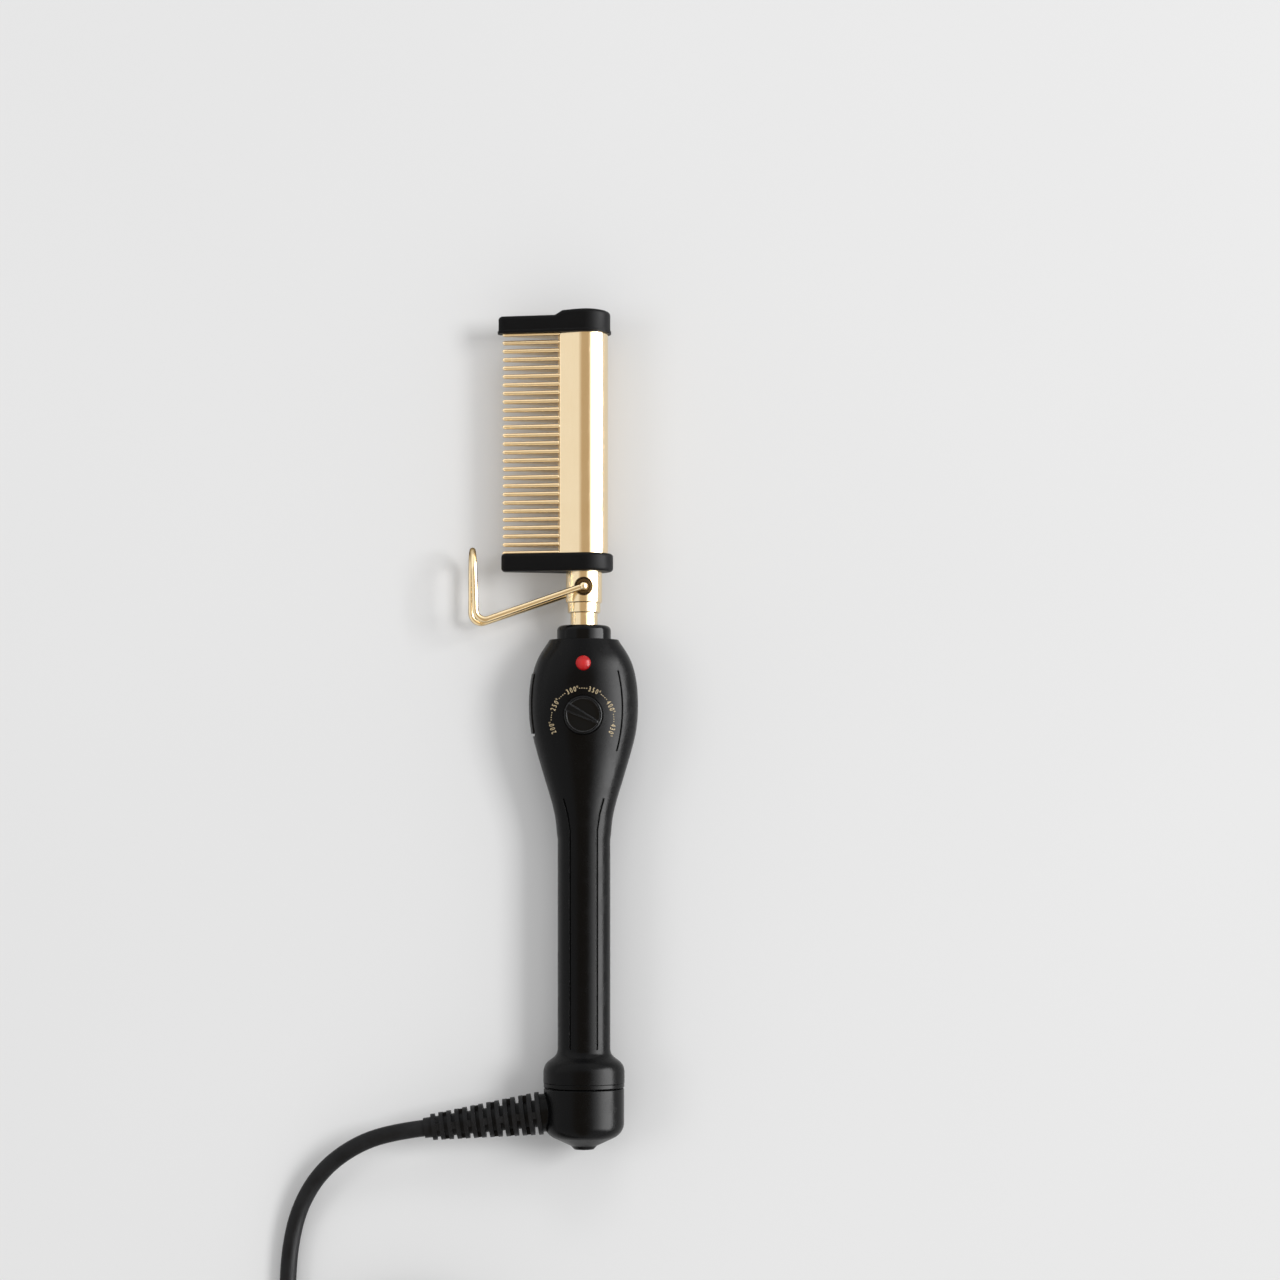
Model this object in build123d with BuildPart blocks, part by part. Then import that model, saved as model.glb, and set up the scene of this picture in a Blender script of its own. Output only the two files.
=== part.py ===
from build123d import *
import math
import os

os.makedirs("parts", exist_ok=True)

# Electric hot comb. Millimetres. +Y runs from the cord end to the tip of the comb, +Z is up out of
# the dial, and -X is the side of the teeth. The comb lies on the back of its handle: the floor is
# Z = 0, and the origin is on the floor under the axis of the dial.

# ---------------------------------------------------------------- driving dimensions
# Fits
FIT = 0.05              # radial play of a seated or running pair
GAP = 0.3               # air between pieces that pass each other

# Handle
BULB_WIDTH = 38.6       # widest part of the handle, across the dial
BULB_DEPTH = 30.8       # the same, front to back, before the rest flat is cut
REST_CUT = 0.8          # depth of the rest flat on the back of the bulb
GRIP_DIAMETER = 18.8
GRIP_END_Y = -118.5     # where the grip starts to flare
BULB_FRONT_Y = 27.3     # front shoulder of the handle
BULB_WIDEST_Y = 5.7
BULB_TAIL_Y = -43.8     # where the bulb has become the round grip
SHOULDER_WIDTH = 24.6
FLARE_DIAMETER = 29.0
FLARE_END_Y = -130.7
WALL = 2.0
SHELL_END_WALL = 2.5
GROOVE_WIDTH = 0.7
GROOVE_DEPTH = 0.45

# Collar, stem and neck
STEM_DIAMETER = 9.7
STEM_WALL = 0.95
STEM_END_Y = 12.0
STEM_SHOWS = 4.4
COLLAR_DIAMETER = 19.3
COLLAR_LENGTH = 5.1
SPIGOT_DIAMETER = 13.9
SPIGOT_LENGTH = 2.6
FERRULE_DIAMETER = 11.7
FERRULE_LENGTH = 3.6
NECK_DIAMETER = 12.9
NECK_WALL = 1.45
NECK_SHOWS = 11.2

# Comb head
HEAD_X = 0.8            # the spine stands a little off the handle axis
SPINE_DIAMETER = 15.6
SPINE_FACE_X = -8.7     # flat face that carries the teeth
SPINE_FACE_DEPTH = 10.6
HEATER_BORE = 11.2
TOOTH_COUNT = 27
TOOTH_PITCH = 3.0
TOOTH_LENGTH = 20.4
TOOTH_ROOT_THICKNESS = 1.6
TOOTH_TIP_THICKNESS = 1.45
TOOTH_ROOT_DEPTH = 9.8
TOOTH_TIP_DEPTH = 2.8
TONGUE_DEPTH = 2.5      # how far the blade is let into the spine
TONGUE_THICKNESS = 4.4
PLATE_THICKNESS = 6.4
PLATE_LIP = 1.8         # base plate beyond the spine, all round
CAP_THICKNESS = 6.2
CAP_LIP = 0.8
CAP_CROWN = 2.0         # rise of the cap over the spine
CAP_WALL = 1.1
POCKET = 1.1            # how far the head sits in the base plate and in the cap

# Heater
CERAMIC_WIDTH = 8.0
CERAMIC_THICKNESS = 2.4
FOIL_THICKNESS = 0.3
TIP_PLUG_LENGTH = 6.0

# Stand
WIRE_DIAMETER = 2.2
LEG_DEPTH = 7.9         # each leg's distance from the neck's axis
PIVOT_DROP = 5.5        # pivot below the base plate
LEG_REACH = 38.2        # pivot to corner, across
LEG_FALL = 13.3         # pivot to corner, along the handle
FOOT_RISE = 13.0        # top of the foot above the pivot
FOOT_LEAN = 0.9
LEG_SKEW = 2.4          # the rear leg is bent wider than the front one
EYELET_DIAMETER = 5.6
EYELET_FLANGE = 0.6

# Dial, lamp and switch
KNOB_DIAMETER = 13.4
KNOB_HEIGHT = 4.2
KNOB_RIM = 0.9
KNOB_DISH = 1.5
BAR_WIDE = 3.0          # grip bar of the knob, at its broad end
BAR_NARROW = 1.0        # and at its pointer
KNOB_SEAT = 1.2         # depth of the flat seat under the knob
POINTER_ANGLE = -27.0
SHAFT_DIAMETER = 6.0
POT_DIAMETER = 16.0
POT_HEIGHT = 7.0
LAMP_DIAMETER = 5.3
LAMP_Y = 18.4
NEON_DIAMETER = 3.6
ROCKER_LENGTH = 21.4
ROCKER_WIDTH = 9.2
ROCKER_Y = 4.5
ROCKER_PROUD = 0.35
ROCKER_TRAVEL = 6.0     # degrees from flush to its other position
ROCKER_PIVOT_X = -13.2

# Board
BOARD_THICKNESS = 1.6
BOARD_DROP = 2.0        # top of the board below the handle axis
BOARD_FRONT_Y = 11.3
BOARD_REAR_Y = -24.0
BOARD_RIGHT_X = 10.2

# Swivel
RING_THICKNESS = 1.7
CAP_END_DIAMETER = 28.7
CAP_LENGTH = 16.0
CONE_LENGTH = 4.5
NUB_DIAMETER = 8.2
NUB_LENGTH = 1.3
SPINDLE_DIAMETER = 12.0
SPINDLE_BORE = 7.0
SLIP_PLATE_Y = -117.6

# Strain relief and cord
BOOT_Y = -141.6
BOOT_START = 15.35      # face of the boss, from the swivel's axis
BOOT_TILT = 7.3         # degrees towards the cord end
BOOT_ROOT_DIAMETER = 15.3
BOOT_TIP_DIAMETER = 8.8
BOOT_LENGTH = 42.0
BOOT_RIB_PITCH = 2.9
BOOT_RIBS = 14
CORD_DIAMETER = 6.0
CORD_LENGTH = 2400.0
COIL_DIAMETER = 68.0    # at the middle of its turns
TURN_PITCH = 6.1
COIL_COLUMNS = 4
TIE_THICKNESS = 0.7
TIE_WIDTH = 6.0
PLUG_LENGTH = 28.0
PLUG_WIDTH = 24.0
PLUG_HEIGHT = 18.0
BLADE_SPACING = 12.7
BLADE_LENGTH = 17.5
BLADE_HEIGHT = 6.35
BLADE_THICKNESS = 1.5

# ---------------------------------------------------------------- places worked out from them
AXIS_Z = BULB_DEPTH / 2 - REST_CUT
LONG_AXIS = Axis((0, 0, AXIS_Z), (0, 1, 0))
SEAM = Plane.XY.offset(AXIS_Z)

COLLAR_TOP_Y = BULB_FRONT_Y + COLLAR_LENGTH
FERRULE_Y = COLLAR_TOP_Y + STEM_SHOWS
NECK_Y = FERRULE_Y + FERRULE_LENGTH
PLATE_Y = NECK_Y + NECK_SHOWS
COMB_Y = PLATE_Y + PLATE_THICKNESS
COMB_LENGTH = TOOTH_PITCH * (TOOTH_COUNT - 1) + TOOTH_ROOT_THICKNESS / 4
CAP_Y = COMB_Y + COMB_LENGTH
CAP_TOP_Y = CAP_Y + CAP_THICKNESS
TIP_Y = CAP_TOP_Y + CAP_CROWN
HEAD_Y0 = COMB_Y - POCKET
HEAD_Y1 = CAP_Y + POCKET
PIVOT_Y = PLATE_Y - PIVOT_DROP
TOOTH_TIP_X = SPINE_FACE_X - TOOTH_LENGTH

RING_Y = FLARE_END_Y - RING_THICKNESS
SWIVEL_Y = RING_Y - GAP
CONE_Y = SWIVEL_Y - CAP_LENGTH
NUB_Y = CONE_Y - CONE_LENGTH

BOARD_TOP = -BOARD_DROP
BOARD_BASE = BOARD_TOP - BOARD_THICKNESS

# Width of the bulb along the handle: place, and share of the way from the narrow end's
# diameter (shoulder in front of the widest place, grip behind it) to the full width.
BULB_FRONT_SHARES = ((0.0, 0.0), (0.25, 0.50), (0.56, 0.85), (1.0, 1.0))
BULB_REAR_SHARES = ((0.24, 0.915), (0.40, 0.71), (0.57, 0.46), (0.74, 0.205), (0.88, 0.065), (1.0, 0.0))


def bulb_widths():
    """Return (y, half width) of the bulb from its front shoulder to the grip."""
    widths = []
    for along, share in BULB_FRONT_SHARES:
        y = BULB_FRONT_Y + (BULB_WIDEST_Y - BULB_FRONT_Y) * along
        widths.append((y, (SHOULDER_WIDTH + (BULB_WIDTH - SHOULDER_WIDTH) * share) / 2))
    for along, share in BULB_REAR_SHARES:
        y = BULB_WIDEST_Y + (BULB_TAIL_Y - BULB_WIDEST_Y) * along
        widths.append((y, (GRIP_DIAMETER + (BULB_WIDTH - GRIP_DIAMETER) * share) / 2))
    return widths


def half_depth(half_width):
    """Return the bulb's half depth where its half width is given."""
    share = (half_width * 2 - GRIP_DIAMETER) / (BULB_WIDTH - GRIP_DIAMETER)
    return (GRIP_DIAMETER + (BULB_DEPTH - GRIP_DIAMETER) * share) / 2


def half_width_at(y):
    """Return the bulb's half width at a place between two of its stations."""
    widths = bulb_widths()
    for (y0, w0), (y1, w1) in zip(widths, widths[1:]):
        if y1 <= y <= y0:
            return w1 + (w0 - w1) * (y - y1) / (y0 - y1)
    return GRIP_DIAMETER / 2


def station(y):
    """Return a plane across the handle at y: local x is X, local y is up, normal towards the cord."""
    return Plane(origin=(0, y, AXIS_Z), x_dir=(1, 0, 0), z_dir=(0, -1, 0))


def level(height):
    """Return a level plane at a height above the handle axis."""
    return Plane.XY.offset(AXIS_Z + height)


def bulb_form(offset, front_y):
    """Return the bulb as a solid, grown by an offset and starting at front_y."""
    with BuildPart() as form:
        for y, width in bulb_widths():
            with BuildSketch(station(min(y, front_y))):
                Ellipse(width + offset, half_depth(width) + offset)
        loft()
    return form.part


def grip_profile(offset, end_y, end_radius):
    """Return half of the grip's long section, with its flare."""
    radius = GRIP_DIAMETER / 2 + offset
    with BuildSketch(SEAM) as profile:
        with BuildLine():
            Polyline((0, BULB_TAIL_Y), (radius, BULB_TAIL_Y), (radius, GRIP_END_Y))
            Spline(
                (radius, GRIP_END_Y),
                ((radius + end_radius) / 2 + 0.9, GRIP_END_Y - 4.6),
                (end_radius, GRIP_END_Y - 8.6),
                tangents=((0, -1), (0, -1)),
            )
            Polyline((end_radius, GRIP_END_Y - 8.6), (end_radius, end_y), (0, end_y), (0, BULB_TAIL_Y))
        make_face()
    return profile.sketch


def head_outline(plane, back_radius, tail_x, tail_half, corner):
    """Return the head's section: a round back with flats that run to a narrower tail."""
    with BuildSketch(plane) as outline:
        with Locations((HEAD_X, 0)):
            Circle(back_radius)
        with Locations((tail_x + corner, tail_half - corner), (tail_x + corner, corner - tail_half)):
            Circle(corner)
        make_hull()
    return outline.sketch


# ================================================================ COMB HEAD

SPINE_RADIUS = SPINE_DIAMETER / 2
SPINE_LENGTH = HEAD_Y1 - HEAD_Y0
BORE_RADIUS = HEATER_BORE / 2

# Gold spine tube: teardrop section with the heater bore and the slot of the blade
with BuildPart() as spine_shell:
    extrude(
        head_outline(station(HEAD_Y1), SPINE_RADIUS, SPINE_FACE_X, SPINE_FACE_DEPTH / 2, 0.9),
        amount=SPINE_LENGTH,
    )
    with BuildSketch(station(HEAD_Y1)):
        with Locations((HEAD_X, 0)):
            Circle(BORE_RADIUS)
        with Locations((SPINE_FACE_X + (TONGUE_DEPTH + FIT) / 2, 0)):
            Rectangle(TONGUE_DEPTH + FIT, TONGUE_THICKNESS + 2 * FIT)
    extrude(amount=SPINE_LENGTH, mode=Mode.SUBTRACT)
spine_shell.part.label = "spine_shell"
export_step(spine_shell.part, "parts/spine_shell.step")

# One tooth: a fin that thins to a rounded tip
TIP_ROUND = TOOTH_TIP_THICKNESS / 2
TOOTH_SECTIONS = (
    (SPINE_FACE_X, TOOTH_ROOT_DEPTH, TOOTH_ROOT_THICKNESS),
    (TOOTH_TIP_X + TIP_ROUND, TOOTH_TIP_DEPTH, TOOTH_TIP_THICKNESS),
    (TOOTH_TIP_X + TIP_ROUND * 0.3, TOOTH_TIP_DEPTH * 0.86, TOOTH_TIP_THICKNESS * 0.72),
    (TOOTH_TIP_X, TOOTH_TIP_DEPTH * 0.55, TOOTH_TIP_THICKNESS * 0.35),
)
with BuildPart() as tooth:
    for x, depth, thickness in TOOTH_SECTIONS:
        with BuildSketch(Plane(origin=(x, 0, AXIS_Z), x_dir=(0, 1, 0), z_dir=(-1, 0, 0))):
            SlotOverall(depth, thickness, rotation=90)
    loft(ruled=True)

# Comb blade: a tongue in the spine's slot carries all the teeth
TONGUE_PROUD = 0.4
TOOTH_Y0 = COMB_Y + (COMB_LENGTH - TOOTH_PITCH * (TOOTH_COUNT - 1)) / 2
with BuildPart() as comb_blade:
    with BuildSketch(station(HEAD_Y1 - FIT)):
        with Locations((SPINE_FACE_X + (TONGUE_DEPTH - TONGUE_PROUD) / 2, 0)):
            Rectangle(TONGUE_DEPTH + TONGUE_PROUD, TONGUE_THICKNESS)
    extrude(amount=SPINE_LENGTH - 2 * FIT)
    with Locations([(0, TOOTH_Y0 + TOOTH_PITCH * i, 0) for i in range(TOOTH_COUNT)]):
        add(tooth.part)
comb_blade.part.label = "comb_blade"
export_step(comb_blade.part, "parts/comb_blade.step")

# Top cap: closes the tip, with a band round its mouth; it rises in a soft crown over the spine
CAP_BACK = SPINE_RADIUS + CAP_LIP
CAP_TAIL_X = TOOTH_TIP_X - CAP_WALL - 0.3
CAP_TAIL_HALF = TOOTH_TIP_DEPTH / 2 + CAP_WALL + 0.2
CAP_RIGHT_X = HEAD_X + CAP_BACK
CROWN_X = SPINE_FACE_X - 1.5        # foot of the ramp up to the crown
CROWN_TOP_X = CROWN_X + CAP_CROWN * 1.3
CROWN_SAG = 0.45                    # fall of the crown from its middle to its ends
CAP_ROUND = 1.3
BAND_WIDTH = 1.0
BAND_PROUD = 0.3
SCREW_HEAD_RADIUS = 2.6
SCREW_SHANK_RADIUS = 1.4
SCREW_SINK = 1.9
with BuildPart() as top_cap:
    extrude(
        head_outline(station(TIP_Y), CAP_BACK, CAP_TAIL_X, CAP_TAIL_HALF, CAP_TAIL_HALF * 0.8),
        amount=TIP_Y - CAP_Y,
    )
    with BuildSketch(SEAM):
        with BuildLine():
            Polyline(
                (CROWN_TOP_X, TIP_Y - CROWN_SAG),
                (CROWN_X, CAP_TOP_Y),
                (CAP_TAIL_X - BAND_PROUD, CAP_TOP_Y),
                (CAP_TAIL_X - BAND_PROUD, CAP_Y),
                (CAP_RIGHT_X, CAP_Y),
                (CAP_RIGHT_X, TIP_Y - CROWN_SAG),
            )
            ThreePointArc(
                (CAP_RIGHT_X, TIP_Y - CROWN_SAG),
                ((CROWN_TOP_X + CAP_RIGHT_X) / 2, TIP_Y),
                (CROWN_TOP_X, TIP_Y - CROWN_SAG),
            )
        cap_side = make_face()
        ramp_foot, ramp_top = cap_side.vertices().sort_by(Axis.X)[2:4]
        fillet(ramp_foot, CAP_ROUND)
        fillet(ramp_top, CAP_ROUND * 2)
    extrude(amount=BULB_DEPTH, both=True, mode=Mode.INTERSECT)
    ridge = top_cap.edges().filter_by(lambda edge: edge.center().Y > CAP_TOP_Y - 0.5)
    across = ridge.filter_by(Axis.Z).filter_by(lambda edge: edge.center().X > CROWN_X - 2.0)
    fillet([edge for edge in ridge if edge not in across], CAP_ROUND)
    extrude(
        head_outline(
            station(CAP_Y + BAND_WIDTH),
            CAP_BACK + BAND_PROUD,
            CAP_TAIL_X - BAND_PROUD,
            CAP_TAIL_HALF + BAND_PROUD,
            CAP_TAIL_HALF,
        ),
        amount=BAND_WIDTH,
    )
    extrude(
        head_outline(
            station(HEAD_Y1),
            SPINE_RADIUS + 0.1,
            TOOTH_TIP_X - 0.3,
            TOOTH_TIP_DEPTH / 2 + 0.35,
            TOOTH_TIP_DEPTH / 2,
        ),
        amount=POCKET,
        mode=Mode.SUBTRACT,
    )
    with BuildSketch(station(TIP_Y)):
        with Locations((HEAD_X, 0)):
            Circle(SCREW_HEAD_RADIUS + 0.2)
    extrude(amount=SCREW_SINK, mode=Mode.SUBTRACT)
    with BuildSketch(station(TIP_Y)):
        with Locations((HEAD_X, 0)):
            Circle(SCREW_SHANK_RADIUS + FIT)
    extrude(amount=TIP_Y - CAP_Y, mode=Mode.SUBTRACT)
top_cap.part.label = "top_cap"
export_step(top_cap.part, "parts/top_cap.step")

# Plug in the top of the heater bore, tapped for the cap screw
PLUG_RADIUS = BORE_RADIUS - FIT
with BuildPart() as tip_plug:
    with BuildSketch(station(HEAD_Y1 - FIT)):
        with Locations((HEAD_X, 0)):
            Circle(PLUG_RADIUS)
            Circle(SCREW_SHANK_RADIUS + FIT, mode=Mode.SUBTRACT)
    extrude(amount=TIP_PLUG_LENGTH)
tip_plug.part.label = "tip_plug"
export_step(tip_plug.part, "parts/tip_plug.step")

# Cap screw: cross-recessed head sunk in the dome
SCREW_HEAD_HEIGHT = 1.4
SCREW_HEAD_Y = TIP_Y - SCREW_SINK + SCREW_HEAD_HEIGHT
with BuildPart() as cap_screw:
    with BuildSketch(station(SCREW_HEAD_Y)):
        with Locations((HEAD_X, 0)):
            Circle(SCREW_HEAD_RADIUS)
    extrude(amount=SCREW_HEAD_HEIGHT)
    fillet(cap_screw.faces().sort_by(Axis.Y)[-1].edges(), 0.5)
    with BuildSketch(station(SCREW_HEAD_Y)):
        with Locations((HEAD_X, 0)):
            Circle(SCREW_SHANK_RADIUS)
    extrude(amount=SCREW_HEAD_Y - (HEAD_Y1 - TIP_PLUG_LENGTH * 0.8))
    with BuildSketch(station(SCREW_HEAD_Y)):
        with Locations((HEAD_X, 0)):
            Rectangle(2.6, 0.6)
            Rectangle(0.6, 2.6)
    extrude(amount=0.8, mode=Mode.SUBTRACT)
cap_screw.part.label = "cap_screw"
export_step(cap_screw.part, "parts/cap_screw.step")

# Base plate: the same outline, wider, with a pocket for the head and a bore for the neck
PLATE_BACK = SPINE_RADIUS + PLATE_LIP
NECK_RADIUS = NECK_DIAMETER / 2
with BuildPart() as base_plate:
    extrude(
        head_outline(
            station(COMB_Y), PLATE_BACK, CAP_TAIL_X + 1.0, CAP_TAIL_HALF + 0.4, CAP_TAIL_HALF * 0.8
        ),
        amount=PLATE_THICKNESS,
    )
    fillet(base_plate.faces().sort_by(Axis.Y)[-1].edges(), PLATE_THICKNESS * 0.19)
    fillet(base_plate.faces().sort_by(Axis.Y)[0].edges(), PLATE_THICKNESS * 0.19)
    extrude(
        head_outline(
            station(COMB_Y),
            SPINE_RADIUS + 0.1,
            TOOTH_TIP_X - 0.3 + 0.2,
            TOOTH_TIP_DEPTH / 2 + 0.35,
            TOOTH_TIP_DEPTH / 2,
        ),
        amount=POCKET,
        mode=Mode.SUBTRACT,
    )
    with BuildSketch(station(COMB_Y)):
        Circle(NECK_RADIUS + FIT)
    extrude(amount=PLATE_THICKNESS, mode=Mode.SUBTRACT)
base_plate.part.label = "base_plate"
export_step(base_plate.part, "parts/base_plate.step")

# Heater: a ceramic plate between two foils and two half-round blocks in the bore
HEATER_Y1 = HEAD_Y1 - TIP_PLUG_LENGTH - 0.5
HEATER_Y0 = HEAD_Y0 + 5.0
HEATER_LENGTH = HEATER_Y1 - HEATER_Y0
HALF_STACK = CERAMIC_THICKNESS / 2 + FOIL_THICKNESS
with BuildPart() as heater_plate:
    with BuildSketch(station(HEATER_Y1)):
        with Locations((HEAD_X, 0)):
            Rectangle(CERAMIC_WIDTH, CERAMIC_THICKNESS)
    extrude(amount=HEATER_LENGTH)
heater_plate.part.label = "heater_plate"
export_step(heater_plate.part, "parts/heater_plate.step")

TAB_LENGTH = 3.4
with BuildPart() as electrode_foils:
    for side in (1, -1):
        with BuildSketch(station(HEATER_Y1)):
            with Locations((HEAD_X, side * (HALF_STACK - FOIL_THICKNESS / 2))):
                Rectangle(CERAMIC_WIDTH, FOIL_THICKNESS)
        extrude(amount=HEATER_LENGTH)
        with BuildSketch(station(HEATER_Y0)):
            with Locations((HEAD_X, side * (HALF_STACK - FOIL_THICKNESS / 2))):
                Rectangle(CERAMIC_WIDTH / 2, FOIL_THICKNESS)
        extrude(amount=TAB_LENGTH)
electrode_foils.part.label = "electrode_foils"
export_step(electrode_foils.part, "parts/electrode_foils.step")

for name, side in (("heater_block_front", 1), ("heater_block_rear", -1)):
    with BuildPart() as heater_block:
        with BuildSketch(station(HEATER_Y1)):
            with Locations((HEAD_X, 0)):
                Circle(BORE_RADIUS - FIT)
            with Locations((HEAD_X, side * (HALF_STACK - BORE_RADIUS))):
                Rectangle(HEATER_BORE, HEATER_BORE, mode=Mode.SUBTRACT)
        extrude(amount=HEATER_LENGTH)
    heater_block.part.label = name
    export_step(heater_block.part, "parts/" + name + ".step")

SENSOR_RADIUS = 1.5
with BuildPart() as thermal_sensor:
    with BuildSketch(station(HEATER_Y0 - FIT)):
        with Locations((HEAD_X, HALF_STACK + SENSOR_RADIUS + 0.3)):
            Circle(SENSOR_RADIUS)
    extrude(amount=TAB_LENGTH + 1.0)
    fillet(thermal_sensor.faces().sort_by(Axis.Y)[0].edges(), SENSOR_RADIUS * 0.6)
thermal_sensor.part.label = "thermal_sensor"
export_step(thermal_sensor.part, "parts/thermal_sensor.step")

# ================================================================ NECK AND STAND

NECK_BORE = NECK_RADIUS - NECK_WALL
EYELET_SEAT = NECK_RADIUS - EYELET_FLANGE
WIRE_RADIUS = WIRE_DIAMETER / 2
BARREL_RADIUS = WIRE_RADIUS + FIT + 0.75
EYELET_RADIUS = EYELET_DIAMETER / 2
with BuildPart() as neck_tube:
    with BuildSketch(station(HEAD_Y0)):
        Circle(NECK_RADIUS)
    extrude(amount=HEAD_Y0 - NECK_Y)
    chamfer(neck_tube.faces().sort_by(Axis.Y)[0].edges(), 0.35)
    with BuildSketch(station(HEAD_Y0)):
        Circle(NECK_BORE)
    extrude(amount=HEAD_Y0 - NECK_Y, mode=Mode.SUBTRACT)
    for side in (1, -1):
        with BuildSketch(Plane(origin=(0, PIVOT_Y, AXIS_Z + side * EYELET_SEAT), z_dir=(0, 0, side))):
            Circle(EYELET_RADIUS + FIT)
        extrude(amount=NECK_RADIUS, mode=Mode.SUBTRACT)
    with BuildSketch(Plane(origin=(0, PIVOT_Y, AXIS_Z))):
        Circle(BARREL_RADIUS + FIT)
    extrude(amount=NECK_RADIUS, both=True, mode=Mode.SUBTRACT)
neck_tube.part.label = "neck_tube"
export_step(neck_tube.part, "parts/neck_tube.step")

# Eyelets that line the two pivot holes of the stand
for name, side in (("stand_eyelet_front", 1), ("stand_eyelet_rear", -1)):
    with BuildPart() as stand_eyelet:
        with BuildSketch(Plane(origin=(0, PIVOT_Y, AXIS_Z + side * EYELET_SEAT), z_dir=(0, 0, side))):
            Circle(EYELET_RADIUS)
        extrude(amount=EYELET_FLANGE)
        outer_rim = stand_eyelet.faces().sort_by(Axis.Z)[-1 if side > 0 else 0].edges()
        fillet(outer_rim, EYELET_FLANGE * 0.6)
        with BuildSketch(Plane(origin=(0, PIVOT_Y, AXIS_Z + side * EYELET_SEAT), z_dir=(0, 0, -side))):
            Circle(BARREL_RADIUS)
        extrude(amount=NECK_WALL)
        with BuildSketch(Plane(origin=(0, PIVOT_Y, AXIS_Z))):
            Circle(WIRE_RADIUS + FIT)
        extrude(amount=side * NECK_RADIUS, mode=Mode.SUBTRACT)
        mouth = stand_eyelet.faces().sort_by(Axis.Z)[-1 if side > 0 else 0].inner_wires().edges()
        chamfer(mouth, EYELET_FLANGE * 0.75)
    stand_eyelet.part.label = name
    export_step(stand_eyelet.part, "parts/" + name + ".step")

# Stand: one bent wire, from the front pivot down one leg, round the foot and back to the rear pivot
PIN_END = EYELET_SEAT - NECK_WALL - 0.2
PIN_BEND = 1.35
CORNER_BEND = 3.5
FOOT_BEND = LEG_DEPTH * 0.96
CORNER_Y = PIVOT_Y - LEG_FALL
FOOT_Y = PIVOT_Y + FOOT_RISE
FRONT_LEG = AXIS_Z + LEG_DEPTH
REAR_LEG = AXIS_Z - LEG_DEPTH
KNUCKLE_RADIUS = WIRE_RADIUS * 1.42
KNUCKLE_DEPTH = NECK_RADIUS + GAP + KNUCKLE_RADIUS
with BuildPart() as stand_wire:
    with BuildLine() as wire_path:
        FilletPolyline(
            (0, PIVOT_Y, AXIS_Z + PIN_END),
            (0, PIVOT_Y, FRONT_LEG),
            (-LEG_REACH, CORNER_Y, FRONT_LEG),
            (-LEG_REACH - FOOT_LEAN, FOOT_Y, FRONT_LEG),
            (-LEG_REACH - LEG_SKEW * 0.6 - FOOT_LEAN, FOOT_Y, REAR_LEG),
            (-LEG_REACH - LEG_SKEW, CORNER_Y - 0.3, REAR_LEG),
            (0, PIVOT_Y, REAR_LEG),
            (0, PIVOT_Y, AXIS_Z - PIN_END),
            radius=[PIN_BEND, CORNER_BEND, FOOT_BEND, FOOT_BEND, CORNER_BEND, PIN_BEND],
        )
    with BuildSketch(Plane(origin=wire_path.line @ 0, z_dir=wire_path.line % 0)):
        Circle(WIRE_RADIUS)
    sweep()
    # Each leg is upset into a round knuckle where it turns into its eyelet
    with Locations(*[(0, PIVOT_Y, AXIS_Z + side * KNUCKLE_DEPTH) for side in (1, -1)]):
        Sphere(KNUCKLE_RADIUS)
stand_wire.part.label = "stand_wire"
export_step(stand_wire.part, "parts/stand_wire.step")

# Stepped ferrule between the neck tube and the thinner stem
FERRULE_RADIUS = FERRULE_DIAMETER / 2
STEM_RADIUS = STEM_DIAMETER / 2
STEM_BORE = STEM_RADIUS - STEM_WALL
FERRULE_SPIGOT = 3.0
with BuildPart() as neck_ferrule:
    with BuildSketch(station(NECK_Y)):
        Circle(FERRULE_RADIUS)
    extrude(amount=FERRULE_LENGTH)
    fillet(neck_ferrule.faces().sort_by(Axis.Y)[0].edges(), (FERRULE_RADIUS - STEM_RADIUS) * 0.7)
    with BuildSketch(station(NECK_Y + FERRULE_SPIGOT)):
        Circle(NECK_BORE - FIT)
    extrude(amount=FERRULE_SPIGOT)
    with BuildSketch(station(NECK_Y + FERRULE_SPIGOT)):
        Circle(STEM_BORE)
    extrude(amount=FERRULE_SPIGOT, mode=Mode.SUBTRACT)
    with BuildSketch(station(NECK_Y - FIT)):
        Circle(STEM_RADIUS + FIT)
    extrude(amount=FERRULE_LENGTH, mode=Mode.SUBTRACT)
    with BuildSketch(station(NECK_Y)):
        Circle(STEM_BORE)
    extrude(amount=FERRULE_LENGTH, mode=Mode.SUBTRACT)
neck_ferrule.part.label = "neck_ferrule"
export_step(neck_ferrule.part, "parts/neck_ferrule.step")

with BuildPart() as stem_tube:
    with BuildSketch(station(NECK_Y - 2 * FIT)):
        Circle(STEM_RADIUS)
        Circle(STEM_BORE, mode=Mode.SUBTRACT)
    extrude(amount=NECK_Y - 2 * FIT - STEM_END_Y)
stem_tube.part.label = "stem_tube"
export_step(stem_tube.part, "parts/stem_tube.step")

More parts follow.
